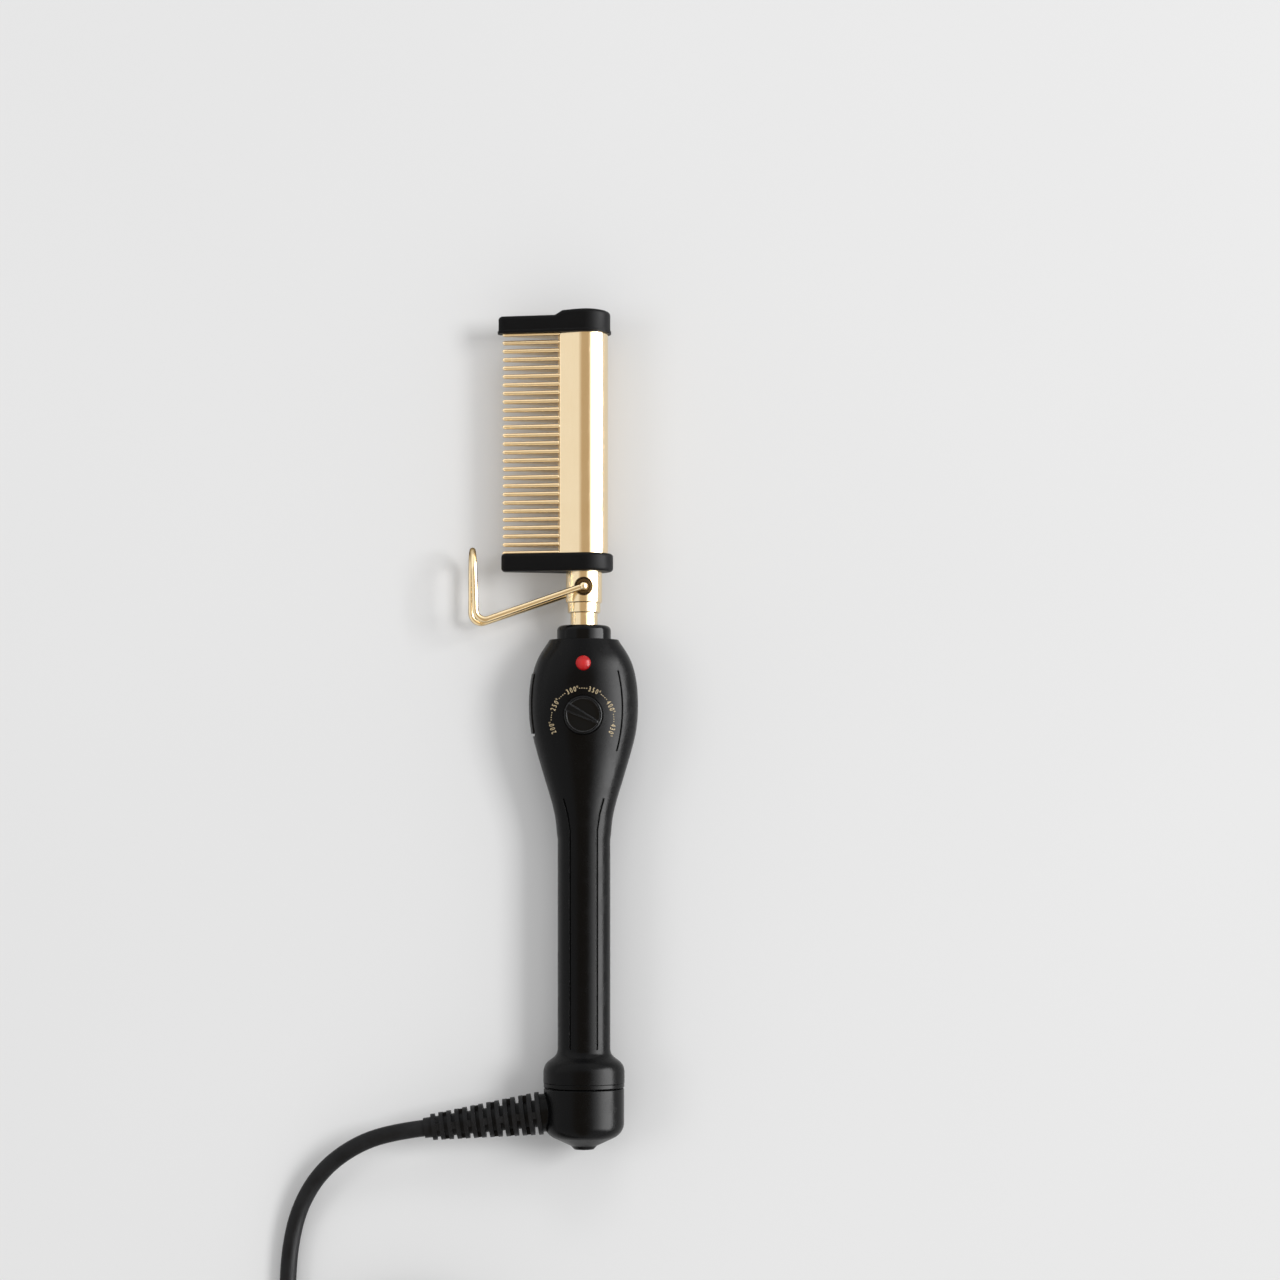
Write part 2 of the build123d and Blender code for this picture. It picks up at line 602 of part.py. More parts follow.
# Collar: clamps the two shells on their spigot
with BuildPart() as collar:
    with BuildSketch(station(COLLAR_TOP_Y)):
        Circle(COLLAR_DIAMETER / 2)
    extrude(amount=COLLAR_LENGTH)
    fillet(collar.faces().sort_by(Axis.Y)[-1].edges(), COLLAR_LENGTH * 0.37)
    with BuildSketch(station(COLLAR_TOP_Y)):
        Circle(STEM_RADIUS + FIT)
    extrude(amount=COLLAR_LENGTH, mode=Mode.SUBTRACT)
    with BuildSketch(station(BULB_FRONT_Y + SPIGOT_LENGTH + 2 * FIT)):
        Circle(SPIGOT_DIAMETER / 2 + FIT)
    extrude(amount=SPIGOT_LENGTH + 2 * FIT, mode=Mode.SUBTRACT)
collar.part.label = "collar"
export_step(collar.part, "parts/collar.step")

# Heater leads: from the foils, through neck and stem, onto the board
LEAD_RADIUS = 0.9
LEAD_SPACING = 3.8
LEADS_Y1 = HEATER_Y0 - TAB_LENGTH - 0.2
with BuildPart() as heater_leads:
    with BuildSketch(station(LEADS_Y1)):
        with GridLocations(LEAD_SPACING, 1, 2, 1):
            with Locations((0, BOARD_TOP + LEAD_RADIUS)):
                Circle(LEAD_RADIUS)
    extrude(amount=LEADS_Y1 - BOARD_FRONT_Y + 2.0)
heater_leads.part.label = "heater_leads"
export_step(heater_leads.part, "parts/heater_leads.step")

# ================================================================ HANDLE SHELLS

FLARE_RADIUS = FLARE_DIAMETER / 2
GRIP_RADIUS = GRIP_DIAMETER / 2
SPINDLE_RADIUS = SPINDLE_DIAMETER / 2
END_WALL_Y = FLARE_END_Y + 1.7      # outer face of the wall that holds the swivel's spindle
END_WALL_IN_Y = END_WALL_Y + 2.0
FLANGE_RADIUS = 9.0
CHAMBER_RADIUS = FLANGE_RADIUS + 0.6
CHAMBER_Y = GRIP_END_Y - 4.5

with BuildPart() as handle_body:
    add(bulb_form(0, BULB_FRONT_Y))
    revolve(grip_profile(0, FLARE_END_Y, FLARE_RADIUS), LONG_AXIS)

# What the shells leave free inside: bulb, grip bore, swivel chamber and the mouth at the end
with BuildPart() as handle_cavity:
    add(bulb_form(-WALL, BULB_FRONT_Y - SHELL_END_WALL))
    with BuildSketch(SEAM):
        with BuildLine():
            Polyline(
                (0, BULB_TAIL_Y + 1),
                (GRIP_RADIUS - WALL, BULB_TAIL_Y + 1),
                (GRIP_RADIUS - WALL, GRIP_END_Y - 2.0),
                (CHAMBER_RADIUS, CHAMBER_Y),
                (CHAMBER_RADIUS, END_WALL_IN_Y),
                (SPINDLE_RADIUS + 0.1, END_WALL_IN_Y),
                (SPINDLE_RADIUS + 0.1, END_WALL_Y),
                (FLARE_RADIUS - WALL, END_WALL_Y),
                (FLARE_RADIUS - WALL, FLARE_END_Y),
                (0, FLARE_END_Y),
                close=True,
            )
        make_face()
    revolve(axis=LONG_AXIS)

# Grooves drawn straight in from front and back, following the bulb as it widens
GROOVE_X = GRIP_RADIUS / 2
with BuildPart() as groove_core:
    add(bulb_form(-GROOVE_DEPTH, BULB_FRONT_Y))
    revolve(grip_profile(-GROOVE_DEPTH, FLARE_END_Y, FLARE_RADIUS), LONG_AXIS)
with BuildPart() as grooves:
    for side in (1, -1):
        with BuildSketch(Plane.XY):
            with BuildLine():
                Polyline(
                    (side * GROOVE_X, GRIP_END_Y),
                    (side * GROOVE_X, BULB_TAIL_Y + 3),
                    (side * (GROOVE_X + 0.9), BULB_TAIL_Y + 9),
                    (side * (GROOVE_X + 2.4), BULB_TAIL_Y + 14.5),
                )
            trace(line_width=GROOVE_WIDTH)
    extrude(amount=BULB_DEPTH)
    add(groove_core.part, mode=Mode.SUBTRACT)

# One fine line down the right of the bulb's front, beside the dial
LINE_ARC = ((12.2, 15.9), (13.75, 3.4), (11.7, -12.6))
with BuildPart() as bulb_line:
    with BuildSketch(SEAM):
        with BuildLine():
            ThreePointArc(*LINE_ARC)
        trace(line_width=0.45)
    extrude(amount=BULB_DEPTH)
    add(groove_core.part, mode=Mode.SUBTRACT)

# Opening of the rocker in the toothed side, half in each shell, with room for its lower end to swing
ROCKER_OUT_X = -BULB_WIDTH / 2 - ROCKER_PROUD
ROCKER_SWING = (ROCKER_PIVOT_X - ROCKER_OUT_X) * math.sin(math.radians(ROCKER_TRAVEL))
with BuildPart() as rocker_opening:
    opening_centre = (ROCKER_OUT_X - 2.0, ROCKER_Y - ROCKER_SWING / 2, AXIS_Z)
    with BuildSketch(Plane(origin=opening_centre, x_dir=(0, 1, 0), z_dir=(1, 0, 0))):
        RectangleRounded(ROCKER_LENGTH + 2 * GAP + ROCKER_SWING, ROCKER_WIDTH + 2 * GAP, 1.2)
    extrude(amount=WALL + 5.0)

# Rib across the bulb that carries the inner end of the stem
RIB_THICKNESS = 2.0
RIB_Y = STEM_END_Y + RIB_THICKNESS + 0.6
with BuildPart() as stem_ribs:
    add(bulb_form(-WALL / 2, BULB_FRONT_Y - SHELL_END_WALL / 2))
    with BuildSketch(station(RIB_Y)):
        Rectangle(BULB_WIDTH, BULB_DEPTH)
    extrude(amount=RIB_THICKNESS, mode=Mode.INTERSECT)

SCREW_YS = (BULB_TAIL_Y + 12.5, (BULB_TAIL_Y + GRIP_END_Y) / 2 + 8.0, GRIP_END_Y + 7.5)
BOSS_RADIUS = 2.9
SHELL_SCREW_RADIUS = 1.0
SHELL_SCREW_HEAD = 2.0
SHELL_HEAD_SEAT = GRIP_RADIUS - 2.9
SHELL_HEAD_HEIGHT = 1.4
SHELL_SCREW_REACH = 4.5

# Half shell: the hollow body cut at the seam, with its ribs and spigot
half_shells = []
for keep_side in (Keep.TOP, Keep.BOTTOM):
    with BuildPart() as half_shell:
        add(handle_body.part)
        with BuildSketch(station(BULB_FRONT_Y + SPIGOT_LENGTH)):
            Circle(SPIGOT_DIAMETER / 2)
        extrude(amount=SPIGOT_LENGTH)
        add(handle_cavity.part, mode=Mode.SUBTRACT)
        add(stem_ribs.part)
        with BuildSketch(station(BULB_FRONT_Y + SPIGOT_LENGTH)):
            Circle(STEM_RADIUS + FIT)
        extrude(amount=BULB_FRONT_Y + SPIGOT_LENGTH - RIB_Y + RIB_THICKNESS, mode=Mode.SUBTRACT)
        add(rocker_opening.part, mode=Mode.SUBTRACT)
        split(bisect_by=SEAM, keep=keep_side)
    half_shells.append(half_shell.part)

# Heights above the axis of what stands on the front shell
FRONT_TOP = half_depth(half_width_at(0))
KNOB_BASE = FRONT_TOP - KNOB_SEAT
LAMP_TOP = half_depth(half_width_at(LAMP_Y))
KNOB_RADIUS = KNOB_DIAMETER / 2
SHAFT_RADIUS = SHAFT_DIAMETER / 2
LAMP_RADIUS = LAMP_DIAMETER / 2
BOSS_INSET = 1.0

with BuildPart() as handle_front_shell:
    add(half_shells[0])
    add(grooves.part, mode=Mode.SUBTRACT)
    add(bulb_line.part, mode=Mode.SUBTRACT)
    for y in SCREW_YS:
        with BuildSketch(Plane(origin=(0, y, AXIS_Z))):
            Circle(BOSS_RADIUS)
        extrude(amount=half_depth(half_width_at(y)) - BOSS_INSET)
        with BuildSketch(Plane(origin=(0, y, AXIS_Z))):
            Circle(SHELL_SCREW_RADIUS + FIT)
        extrude(amount=SHELL_SCREW_REACH + 0.5, mode=Mode.SUBTRACT)
    with BuildSketch(level(KNOB_BASE)):
        Circle(KNOB_RADIUS + GAP)
    extrude(amount=KNOB_SEAT * 2, mode=Mode.SUBTRACT)
    with BuildSketch(level(0)):
        Circle(SHAFT_RADIUS + GAP)
    extrude(amount=BULB_DEPTH, mode=Mode.SUBTRACT)
    with BuildSketch(Plane(origin=(0, LAMP_Y, AXIS_Z))):
        Circle(LAMP_RADIUS + FIT)
    extrude(amount=BULB_DEPTH, mode=Mode.SUBTRACT)
handle_front_shell.part.label = "handle_front_shell"
export_step(handle_front_shell.part, "parts/handle_front_shell.step")

# Rear shell: mirrored grooves, screw bosses, board posts and the rest flat
POST_RADIUS = 1.6
POSTS = ((BOARD_RIGHT_X - 2.6, BOARD_FRONT_Y - 3.0), (BOARD_RIGHT_X - 3.6, BOARD_REAR_Y + 3.0),
         (-5.4, BOARD_FRONT_Y - 3.0), (-5.4, BOARD_REAR_Y + 3.0))
with BuildPart() as board_posts:
    with BuildSketch(level(BOARD_BASE)):
        with Locations(*POSTS):
            Circle(POST_RADIUS)
    extrude(amount=-BULB_DEPTH / 2)
    add(groove_core.part, mode=Mode.INTERSECT)
with BuildPart() as handle_rear_shell:
    add(half_shells[1])
    mirror(grooves.part, about=SEAM, mode=Mode.SUBTRACT)
    for y in SCREW_YS:
        with BuildSketch(Plane(origin=(0, y, AXIS_Z - FIT), z_dir=(0, 0, -1))):
            Circle(BOSS_RADIUS)
        extrude(amount=half_depth(half_width_at(y)) - BOSS_INSET)
        with BuildSketch(Plane(origin=(0, y, AXIS_Z), z_dir=(0, 0, -1))):
            Circle(SHELL_SCREW_RADIUS + FIT)
        extrude(amount=BULB_DEPTH, mode=Mode.SUBTRACT)
        with BuildSketch(Plane(origin=(0, y, AXIS_Z - SHELL_HEAD_SEAT), z_dir=(0, 0, -1))):
            Circle(SHELL_SCREW_HEAD + 0.2)
        extrude(amount=BULB_DEPTH, mode=Mode.SUBTRACT)
    add(board_posts.part)
    with BuildSketch(Plane.XY):
        Rectangle(BULB_WIDTH, BULB_WIDTH * 2)
    extrude(amount=-BULB_DEPTH, mode=Mode.SUBTRACT)
handle_rear_shell.part.label = "handle_rear_shell"
export_step(handle_rear_shell.part, "parts/handle_rear_shell.step")

# Screws that hold the shells together, from the back
with BuildPart() as housing_screws:
    for y in SCREW_YS:
        head = Plane(origin=(0, y, AXIS_Z - SHELL_HEAD_SEAT - SHELL_HEAD_HEIGHT))
        with BuildSketch(head):
            Circle(SHELL_SCREW_HEAD)
        extrude(amount=SHELL_HEAD_HEIGHT)
        with BuildSketch(head):
            Circle(SHELL_SCREW_RADIUS)
        extrude(amount=SHELL_HEAD_SEAT + SHELL_HEAD_HEIGHT + SHELL_SCREW_REACH)
        with BuildSketch(head):
            Rectangle(2.6, 0.6)
            Rectangle(0.6, 2.6)
        extrude(amount=0.8, mode=Mode.SUBTRACT)
housing_screws.part.label = "housing_screws"
export_step(housing_screws.part, "parts/housing_screws.step")

# ================================================================ DIAL, LAMP AND ROCKER

# Potentiometer on the board
POT_TOP = BOARD_TOP + POT_HEIGHT
POT_COLLAR_TOP = POT_TOP + 3.5
with BuildPart() as dial_pot:
    with BuildSketch(level(BOARD_TOP)):
        Circle(POT_DIAMETER / 2)
    extrude(amount=POT_HEIGHT)
    fillet(dial_pot.faces().sort_by(Axis.Z)[-1].edges(), 0.6)
    with BuildSketch(level(POT_TOP)):
        Circle(SHAFT_RADIUS + 0.9)
    extrude(amount=POT_COLLAR_TOP - POT_TOP)
    with BuildSketch(level(POT_TOP - 1.0)):
        Circle(SHAFT_RADIUS + FIT)
    extrude(amount=POT_COLLAR_TOP - POT_TOP + 1.0, mode=Mode.SUBTRACT)
dial_pot.part.label = "dial_pot"
export_step(dial_pot.part, "parts/dial_pot.step")

# Knob: raised rim, dished face, and a grip bar that runs out to a pointer
KNOB_BOTTOM = KNOB_BASE + GAP
KNOB_TOP = KNOB_BOTTOM + KNOB_HEIGHT
SHAFT_TOP = KNOB_TOP - KNOB_DISH - 0.9
BAR_TOP = KNOB_TOP + 0.3
with BuildPart() as dial_knob:
    with BuildSketch(level(KNOB_BOTTOM)):
        Circle(KNOB_RADIUS)
    extrude(amount=KNOB_HEIGHT)
    fillet(dial_knob.faces().sort_by(Axis.Z)[-1].edges(), 0.4)
    with BuildSketch(level(KNOB_TOP)):
        Circle(KNOB_RADIUS - KNOB_RIM)
    extrude(amount=-KNOB_DISH, mode=Mode.SUBTRACT)
    with BuildSketch(Plane.XY.offset(AXIS_Z + KNOB_TOP - KNOB_DISH).rotated((0, 0, POINTER_ANGLE))):
        with Locations((BAR_WIDE * 0.2 - KNOB_RADIUS, 0)):
            Circle(BAR_WIDE / 2)
        with Locations((KNOB_RADIUS - KNOB_RIM - BAR_NARROW / 2, 0)):
            Circle(BAR_NARROW / 2)
        make_hull()
        Circle(KNOB_RADIUS, mode=Mode.INTERSECT)
    extrude(amount=BAR_TOP - KNOB_TOP + KNOB_DISH)
    chamfer(dial_knob.faces().sort_by(Axis.Z)[-1].edges(), BAR_NARROW * 0.25)
    with BuildSketch(level(KNOB_BOTTOM)):
        Circle(SHAFT_RADIUS + FIT)
    extrude(amount=SHAFT_TOP + FIT - KNOB_BOTTOM, mode=Mode.SUBTRACT)
dial_knob.part.label = "dial_knob"
export_step(dial_knob.part, "parts/dial_knob.step")

with BuildPart() as dial_shaft:
    with BuildSketch(level(POT_TOP - 1.0 + GAP)):
        Circle(SHAFT_RADIUS)
    extrude(amount=SHAFT_TOP - POT_TOP + 1.0 - GAP)
dial_shaft.part.label = "dial_shaft"
export_step(dial_shaft.part, "parts/dial_shaft.step")

# Neon lamp on the stem and the red lens over it
NEON_RADIUS = NEON_DIAMETER / 2
NEON_HEIGHT = STEM_RADIUS + 0.1 + NEON_RADIUS
NEON_LENGTH = 8.0
with BuildPart() as neon_lamp:
    neon_tip = (0, LAMP_Y + NEON_LENGTH / 2 + 1.5, AXIS_Z + NEON_HEIGHT)
    with BuildSketch(Plane(origin=neon_tip, z_dir=(0, -1, 0))):
        Circle(NEON_RADIUS)
    extrude(amount=NEON_LENGTH)
    fillet(neon_lamp.faces().sort_by(Axis.Y)[-1].edges(), NEON_RADIUS * 0.7)
neon_lamp.part.label = "neon_lamp"
export_step(neon_lamp.part, "parts/neon_lamp.step")

LENS_BASE = NEON_HEIGHT + NEON_RADIUS + 0.2
LENS_FLANGE_TOP = LAMP_TOP - WALL - 1.3
LENS_DOME = 1.5
LENS_SPHERE = (LAMP_RADIUS**2 + LENS_DOME**2) / (2 * LENS_DOME)
with BuildPart() as lamp_lens:
    with Locations((0, LAMP_Y, AXIS_Z + LAMP_TOP + LENS_DOME - LENS_SPHERE)):
        Sphere(LENS_SPHERE)
    with BuildSketch(Plane(origin=(0, LAMP_Y, AXIS_Z + LAMP_TOP))):
        Circle(LAMP_RADIUS)
    extrude(amount=LENS_DOME * 2, mode=Mode.INTERSECT)
    with BuildSketch(Plane(origin=(0, LAMP_Y, AXIS_Z + LENS_BASE))):
        Circle(LAMP_RADIUS)
    extrude(amount=LAMP_TOP - LENS_BASE)
    with BuildSketch(Plane(origin=(0, LAMP_Y, AXIS_Z + LENS_BASE))):
        Circle(LAMP_RADIUS + 0.8)
    extrude(amount=LENS_FLANGE_TOP - LENS_BASE)
lamp_lens.part.label = "lamp_lens"
export_step(lamp_lens.part, "parts/lamp_lens.step")

# Rocker: a paddle that follows the bulb's side, on a hub with two trunnions
ROCKER_THICKNESS = 2.2
TRUNNION_RADIUS = 1.0
HUB_RADIUS = 2.1
HUB_WIDTH = ROCKER_WIDTH - 3.0
with BuildPart() as power_rocker:
    rocker_centre = (ROCKER_OUT_X - 1.0, ROCKER_Y, AXIS_Z)
    with BuildSketch(Plane(origin=rocker_centre, x_dir=(0, 1, 0), z_dir=(1, 0, 0))):
        RectangleRounded(ROCKER_LENGTH, ROCKER_WIDTH, 1.0)
    extrude(amount=ROCKER_THICKNESS + 1.0)
    add(bulb_form(ROCKER_PROUD, BULB_FRONT_Y), mode=Mode.INTERSECT)
    with BuildSketch(SEAM):
        with Locations((ROCKER_PIVOT_X, ROCKER_Y)):
            Circle(HUB_RADIUS)
        with Locations(((ROCKER_PIVOT_X + ROCKER_OUT_X + 0.9) / 2, ROCKER_Y)):
            Rectangle(ROCKER_PIVOT_X - ROCKER_OUT_X - 0.9, HUB_RADIUS * 2)
    extrude(amount=HUB_WIDTH / 2, both=True)
    with BuildSketch(SEAM):
        with Locations((ROCKER_PIVOT_X, ROCKER_Y)):
            Circle(TRUNNION_RADIUS)
    extrude(amount=ROCKER_WIDTH / 2, both=True)
power_rocker.part.label = "power_rocker"
export_step(power_rocker.part, "parts/power_rocker.step")

# Switch body: open box with the trunnion bearings in its two side walls
SWITCH_LENGTH = ROCKER_LENGTH - 5.7
SWITCH_LEFT_X = ROCKER_OUT_X + ROCKER_THICKNESS + 2.6
SWITCH_RIGHT_X = -8.4
SWITCH_WALL = 1.2
with BuildPart() as switch_body:
    with BuildSketch(SEAM):
        with Locations(((SWITCH_LEFT_X + SWITCH_RIGHT_X) / 2, ROCKER_Y)):
            Rectangle(SWITCH_RIGHT_X - SWITCH_LEFT_X, SWITCH_LENGTH)
    extrude(amount=ROCKER_WIDTH / 2 + 0.1, both=True)
    with BuildSketch(SEAM):
        with Locations(((SWITCH_LEFT_X + SWITCH_RIGHT_X - SWITCH_WALL) / 2, ROCKER_Y)):
            Rectangle(SWITCH_RIGHT_X - SWITCH_LEFT_X - SWITCH_WALL, SWITCH_LENGTH - 2 * SWITCH_WALL)
    extrude(amount=HUB_WIDTH / 2 + GAP, both=True, mode=Mode.SUBTRACT)
    with BuildSketch(SEAM):
        with Locations((ROCKER_PIVOT_X, ROCKER_Y)):
            Circle(TRUNNION_RADIUS + FIT)
    extrude(amount=ROCKER_WIDTH, both=True, mode=Mode.SUBTRACT)
switch_body.part.label = "switch_body"
export_step(switch_body.part, "parts/switch_body.step")

# ================================================================ CONTROL BOARD

BOARD_LEFT_X = SWITCH_RIGHT_X + 0.2
with BuildPart() as control_board:
    with BuildSketch(level(BOARD_BASE)):
        with Locations(((BOARD_LEFT_X + BOARD_RIGHT_X) / 2, (BOARD_FRONT_Y + BOARD_REAR_Y) / 2)):
            Rectangle(BOARD_RIGHT_X - BOARD_LEFT_X, BOARD_FRONT_Y - BOARD_REAR_Y)
    extrude(amount=BOARD_THICKNESS)
    fillet(control_board.edges().filter_by(Axis.Z), 1.5)
control_board.part.label = "control_board"
export_step(control_board.part, "parts/control_board.step")

# Film capacitor, power triac with its heat tab, and two resistors
PARTS_Y = -POT_DIAMETER / 2
with BuildPart() as capacitor:
    with BuildSketch(level(BOARD_TOP)):
        with Locations((0, PARTS_Y - 3.4)):
            RectangleRounded(12.0, 5.0, 0.8)
    extrude(amount=8.0)
capacitor.part.label = "capacitor"
export_step(capacitor.part, "parts/capacitor.step")

with BuildPart() as triac:
    with BuildSketch(level(BOARD_TOP)):
        with Locations((0, PARTS_Y - 9.2)):
            Rectangle(10.0, 4.4)
    extrude(amount=7.0)
    with BuildSketch(level(BOARD_TOP + 7.0)):
        with Locations((0, PARTS_Y - 9.2 - 1.6)):
            Rectangle(10.0, 1.2)
    extrude(amount=1.6)
triac.part.label = "triac"
export_step(triac.part, "parts/triac.step")

RESISTOR_RADIUS = 1.1
with BuildPart() as board_resistors:
    for start in (-7.2, 1.4):
        with BuildSketch(
            Plane(origin=(start, BOARD_REAR_Y + 1.6, AXIS_Z + BOARD_TOP + RESISTOR_RADIUS), z_dir=(1, 0, 0))
        ):
            Circle(RESISTOR_RADIUS)
        extrude(amount=6.0)
board_resistors.part.label = "board_resistors"
export_step(board_resistors.part, "parts/board_resistors.step")

# ================================================================ SWIVEL

# Slip ring plate at the end of the grip, with a centre contact and a ring on its face
SLIP_PLATE_THICKNESS = 2.0
SLIP_RING_HEIGHT = 0.8
SLIP_TRACK = 4.5
with BuildPart() as slip_ring_plate:
    with BuildSketch(station(SLIP_PLATE_Y)):
        Circle(GRIP_RADIUS - WALL - 0.1)
    extrude(amount=SLIP_PLATE_THICKNESS)
slip_ring_plate.part.label = "slip_ring_plate"
export_step(slip_ring_plate.part, "parts/slip_ring_plate.step")

SLIP_FACE_Y = SLIP_PLATE_Y - SLIP_PLATE_THICKNESS
with BuildPart() as slip_rings:
    with BuildSketch(station(SLIP_FACE_Y)):
        Circle(SLIP_TRACK + 0.9)
        Circle(SLIP_TRACK - 0.9, mode=Mode.SUBTRACT)
        Circle(1.6)
    extrude(amount=SLIP_RING_HEIGHT)
slip_rings.part.label = "slip_rings"
export_step(slip_rings.part, "parts/slip_rings.step")

# Leads through the grip, either side of the screw bosses
GRIP_LEAD_X = BOSS_RADIUS + GAP + 1.6
with BuildPart() as grip_leads:
    with BuildSketch(station(BOARD_REAR_Y - 0.1)):
        with Locations((GRIP_LEAD_X, BOARD_BASE + 0.8), (-GRIP_LEAD_X, BOARD_BASE + 0.8)):
            Circle(1.0)
    extrude(amount=BOARD_REAR_Y - 0.2 - SLIP_PLATE_Y)
grip_leads.part.label = "grip_leads"
export_step(grip_leads.part, "parts/grip_leads.step")

# Spindle: flange trapped behind the end wall, hollow shaft out to the swivel cap
FLANGE_THICKNESS = 2.0
FLANGE_Y = END_WALL_IN_Y + GAP + FLANGE_THICKNESS
CAP_WEB = 2.0
NUT_HEIGHT = 2.0
SPINDLE_END_Y = SWIVEL_Y - CAP_WEB - NUT_HEIGHT
with BuildPart() as swivel_spindle:
    with BuildSketch(station(FLANGE_Y)):
        Circle(FLANGE_RADIUS)
    extrude(amount=FLANGE_THICKNESS)
    with BuildSketch(station(FLANGE_Y)):
        Circle(SPINDLE_RADIUS)
    extrude(amount=FLANGE_Y - SPINDLE_END_Y)
    with BuildSketch(station(FLANGE_Y)):
        Circle(SPINDLE_BORE / 2)
    extrude(amount=FLANGE_Y - SPINDLE_END_Y, mode=Mode.SUBTRACT)
swivel_spindle.part.label = "swivel_spindle"
export_step(swivel_spindle.part, "parts/swivel_spindle.step")

with BuildPart() as spindle_nut:
    with BuildSketch(station(SWIVEL_Y - CAP_WEB)):
        RegularPolygon(SPINDLE_RADIUS + 2.2, 6)
        Circle(SPINDLE_RADIUS + FIT, mode=Mode.SUBTRACT)
    extrude(amount=NUT_HEIGHT)
spindle_nut.part.label = "spindle_nut"
export_step(spindle_nut.part, "parts/spindle_nut.step")

# Brush carrier on the spindle's flange, with a brush for each contact
CARRIER_THICKNESS = 1.6
CARRIER_TOP_Y = FLANGE_Y + CARRIER_THICKNESS
BRUSH_END_Y = SLIP_FACE_Y - SLIP_RING_HEIGHT - GAP
with BuildPart() as brush_carrier:
    with BuildSketch(station(CARRIER_TOP_Y)):
        Circle(SLIP_TRACK + 2.3)
    extrude(amount=CARRIER_THICKNESS)
brush_carrier.part.label = "brush_carrier"
export_step(brush_carrier.part, "parts/brush_carrier.step")

with BuildPart() as contact_brushes:
    with BuildSketch(station(BRUSH_END_Y)):
        with Locations((0, 0), (SLIP_TRACK, 0)):
            Circle(0.8)
    extrude(amount=BRUSH_END_Y - CARRIER_TOP_Y)
contact_brushes.part.label = "contact_brushes"
export_step(contact_brushes.part, "parts/contact_brushes.step")

# Fixed ring between the handle and the swivel cap
with BuildPart() as swivel_ring:
    with BuildSketch(station(FLARE_END_Y)):
        Circle(FLARE_RADIUS - 0.1)
    extrude(amount=RING_THICKNESS)
    fillet(swivel_ring.edges().filter_by(GeomType.CIRCLE), RING_THICKNESS * 0.2)
    with BuildSketch(station(END_WALL_Y - FIT)):
        Circle(FLARE_RADIUS - WALL - FIT)
    extrude(amount=END_WALL_Y - FLARE_END_Y - FIT)
    with BuildSketch(station(END_WALL_Y)):
        Circle(SPINDLE_RADIUS + 0.4)
    extrude(amount=END_WALL_Y - RING_Y, mode=Mode.SUBTRACT)
swivel_ring.part.label = "swivel_ring"
export_step(swivel_ring.part, "parts/swivel_ring.step")

# Plane of the strain relief: origin on the face of its boss, normal out along the cord
BOOT_OUT = Vector(-math.cos(math.radians(BOOT_TILT)), -math.sin(math.radians(BOOT_TILT)), 0)


def boot_plane(distance):
    """Return a plane across the strain relief at a distance outside its boss."""
    origin = Vector(-BOOT_START, BOOT_Y, AXIS_Z) + BOOT_OUT * distance
    return Plane(origin=origin, x_dir=(0, 0, 1), z_dir=BOOT_OUT)


# Swivel cap: a cup with a cone end and nub, a web for the spindle, and a side boss for the cord
CAP_RADIUS = CAP_END_DIAMETER / 2
NUB_RADIUS = NUB_DIAMETER / 2
BOSS_PAD_RADIUS = 6.8
BOOT_STEM_RADIUS = 5.0
CAP_SHOULDER = 6.0      # radius that rolls the cup's side into its cone
NUB_SLANT = 0.6
with BuildPart() as swivel_cap:
    with BuildSketch(SEAM):
        with BuildLine():
            Polyline(
                (0, SWIVEL_Y),
                (CAP_RADIUS, SWIVEL_Y),
                (CAP_RADIUS, CONE_Y),
                (NUB_RADIUS + NUB_SLANT, NUB_Y),
                (NUB_RADIUS - NUB_SLANT, NUB_Y - NUB_LENGTH),
                (0, NUB_Y - NUB_LENGTH),
                close=True,
            )
        cup_side = make_face()
        fillet(cup_side.vertices().group_by(Axis.X)[-1].sort_by(Axis.Y)[:1], CAP_SHOULDER)
    revolve(axis=LONG_AXIS)
    fillet(swivel_cap.faces().sort_by(Axis.Y)[-1].edges(), 0.4)
    fillet(swivel_cap.faces().sort_by(Axis.Y)[0].edges(), 0.5)
    with BuildSketch(boot_plane(-4.5)):
        Circle(BOSS_PAD_RADIUS)
    extrude(amount=4.5)
    with BuildSketch(SEAM):
        with BuildLine():
            Polyline(
                (0, SWIVEL_Y - CAP_WEB),
                (CAP_RADIUS - WALL, SWIVEL_Y - CAP_WEB),
                (CAP_RADIUS - WALL, CONE_Y + WALL),
                (NUB_RADIUS, NUB_Y + WALL),
                (0, NUB_Y + WALL),
                close=True,
            )
        make_face()
    revolve(axis=LONG_AXIS, mode=Mode.SUBTRACT)
    with BuildSketch(station(SWIVEL_Y)):
        Circle(SPINDLE_RADIUS + FIT)
    extrude(amount=CAP_WEB, mode=Mode.SUBTRACT)
    with BuildSketch(boot_plane(0)):
        Circle(BOOT_STEM_RADIUS + FIT)
    extrude(amount=-6.0, mode=Mode.SUBTRACT)
swivel_cap.part.label = "swivel_cap"
export_step(swivel_cap.part, "parts/swivel_cap.step")

# Strain relief: tapered core with ribs, and webs that alternate between top and sides
STEM_LENGTH = 5.2
CORE_ROOT = 4.9
CORE_TIP = CORD_DIAMETER / 2 + 0.6
RIB_WIDTH = BOOT_RIB_PITCH * 0.52


def boot_radius(distance):
    """Return the outer radius of the strain relief at a distance from its boss."""
    share = distance / BOOT_LENGTH
    return (BOOT_ROOT_DIAMETER + (BOOT_TIP_DIAMETER - BOOT_ROOT_DIAMETER) * share) / 2


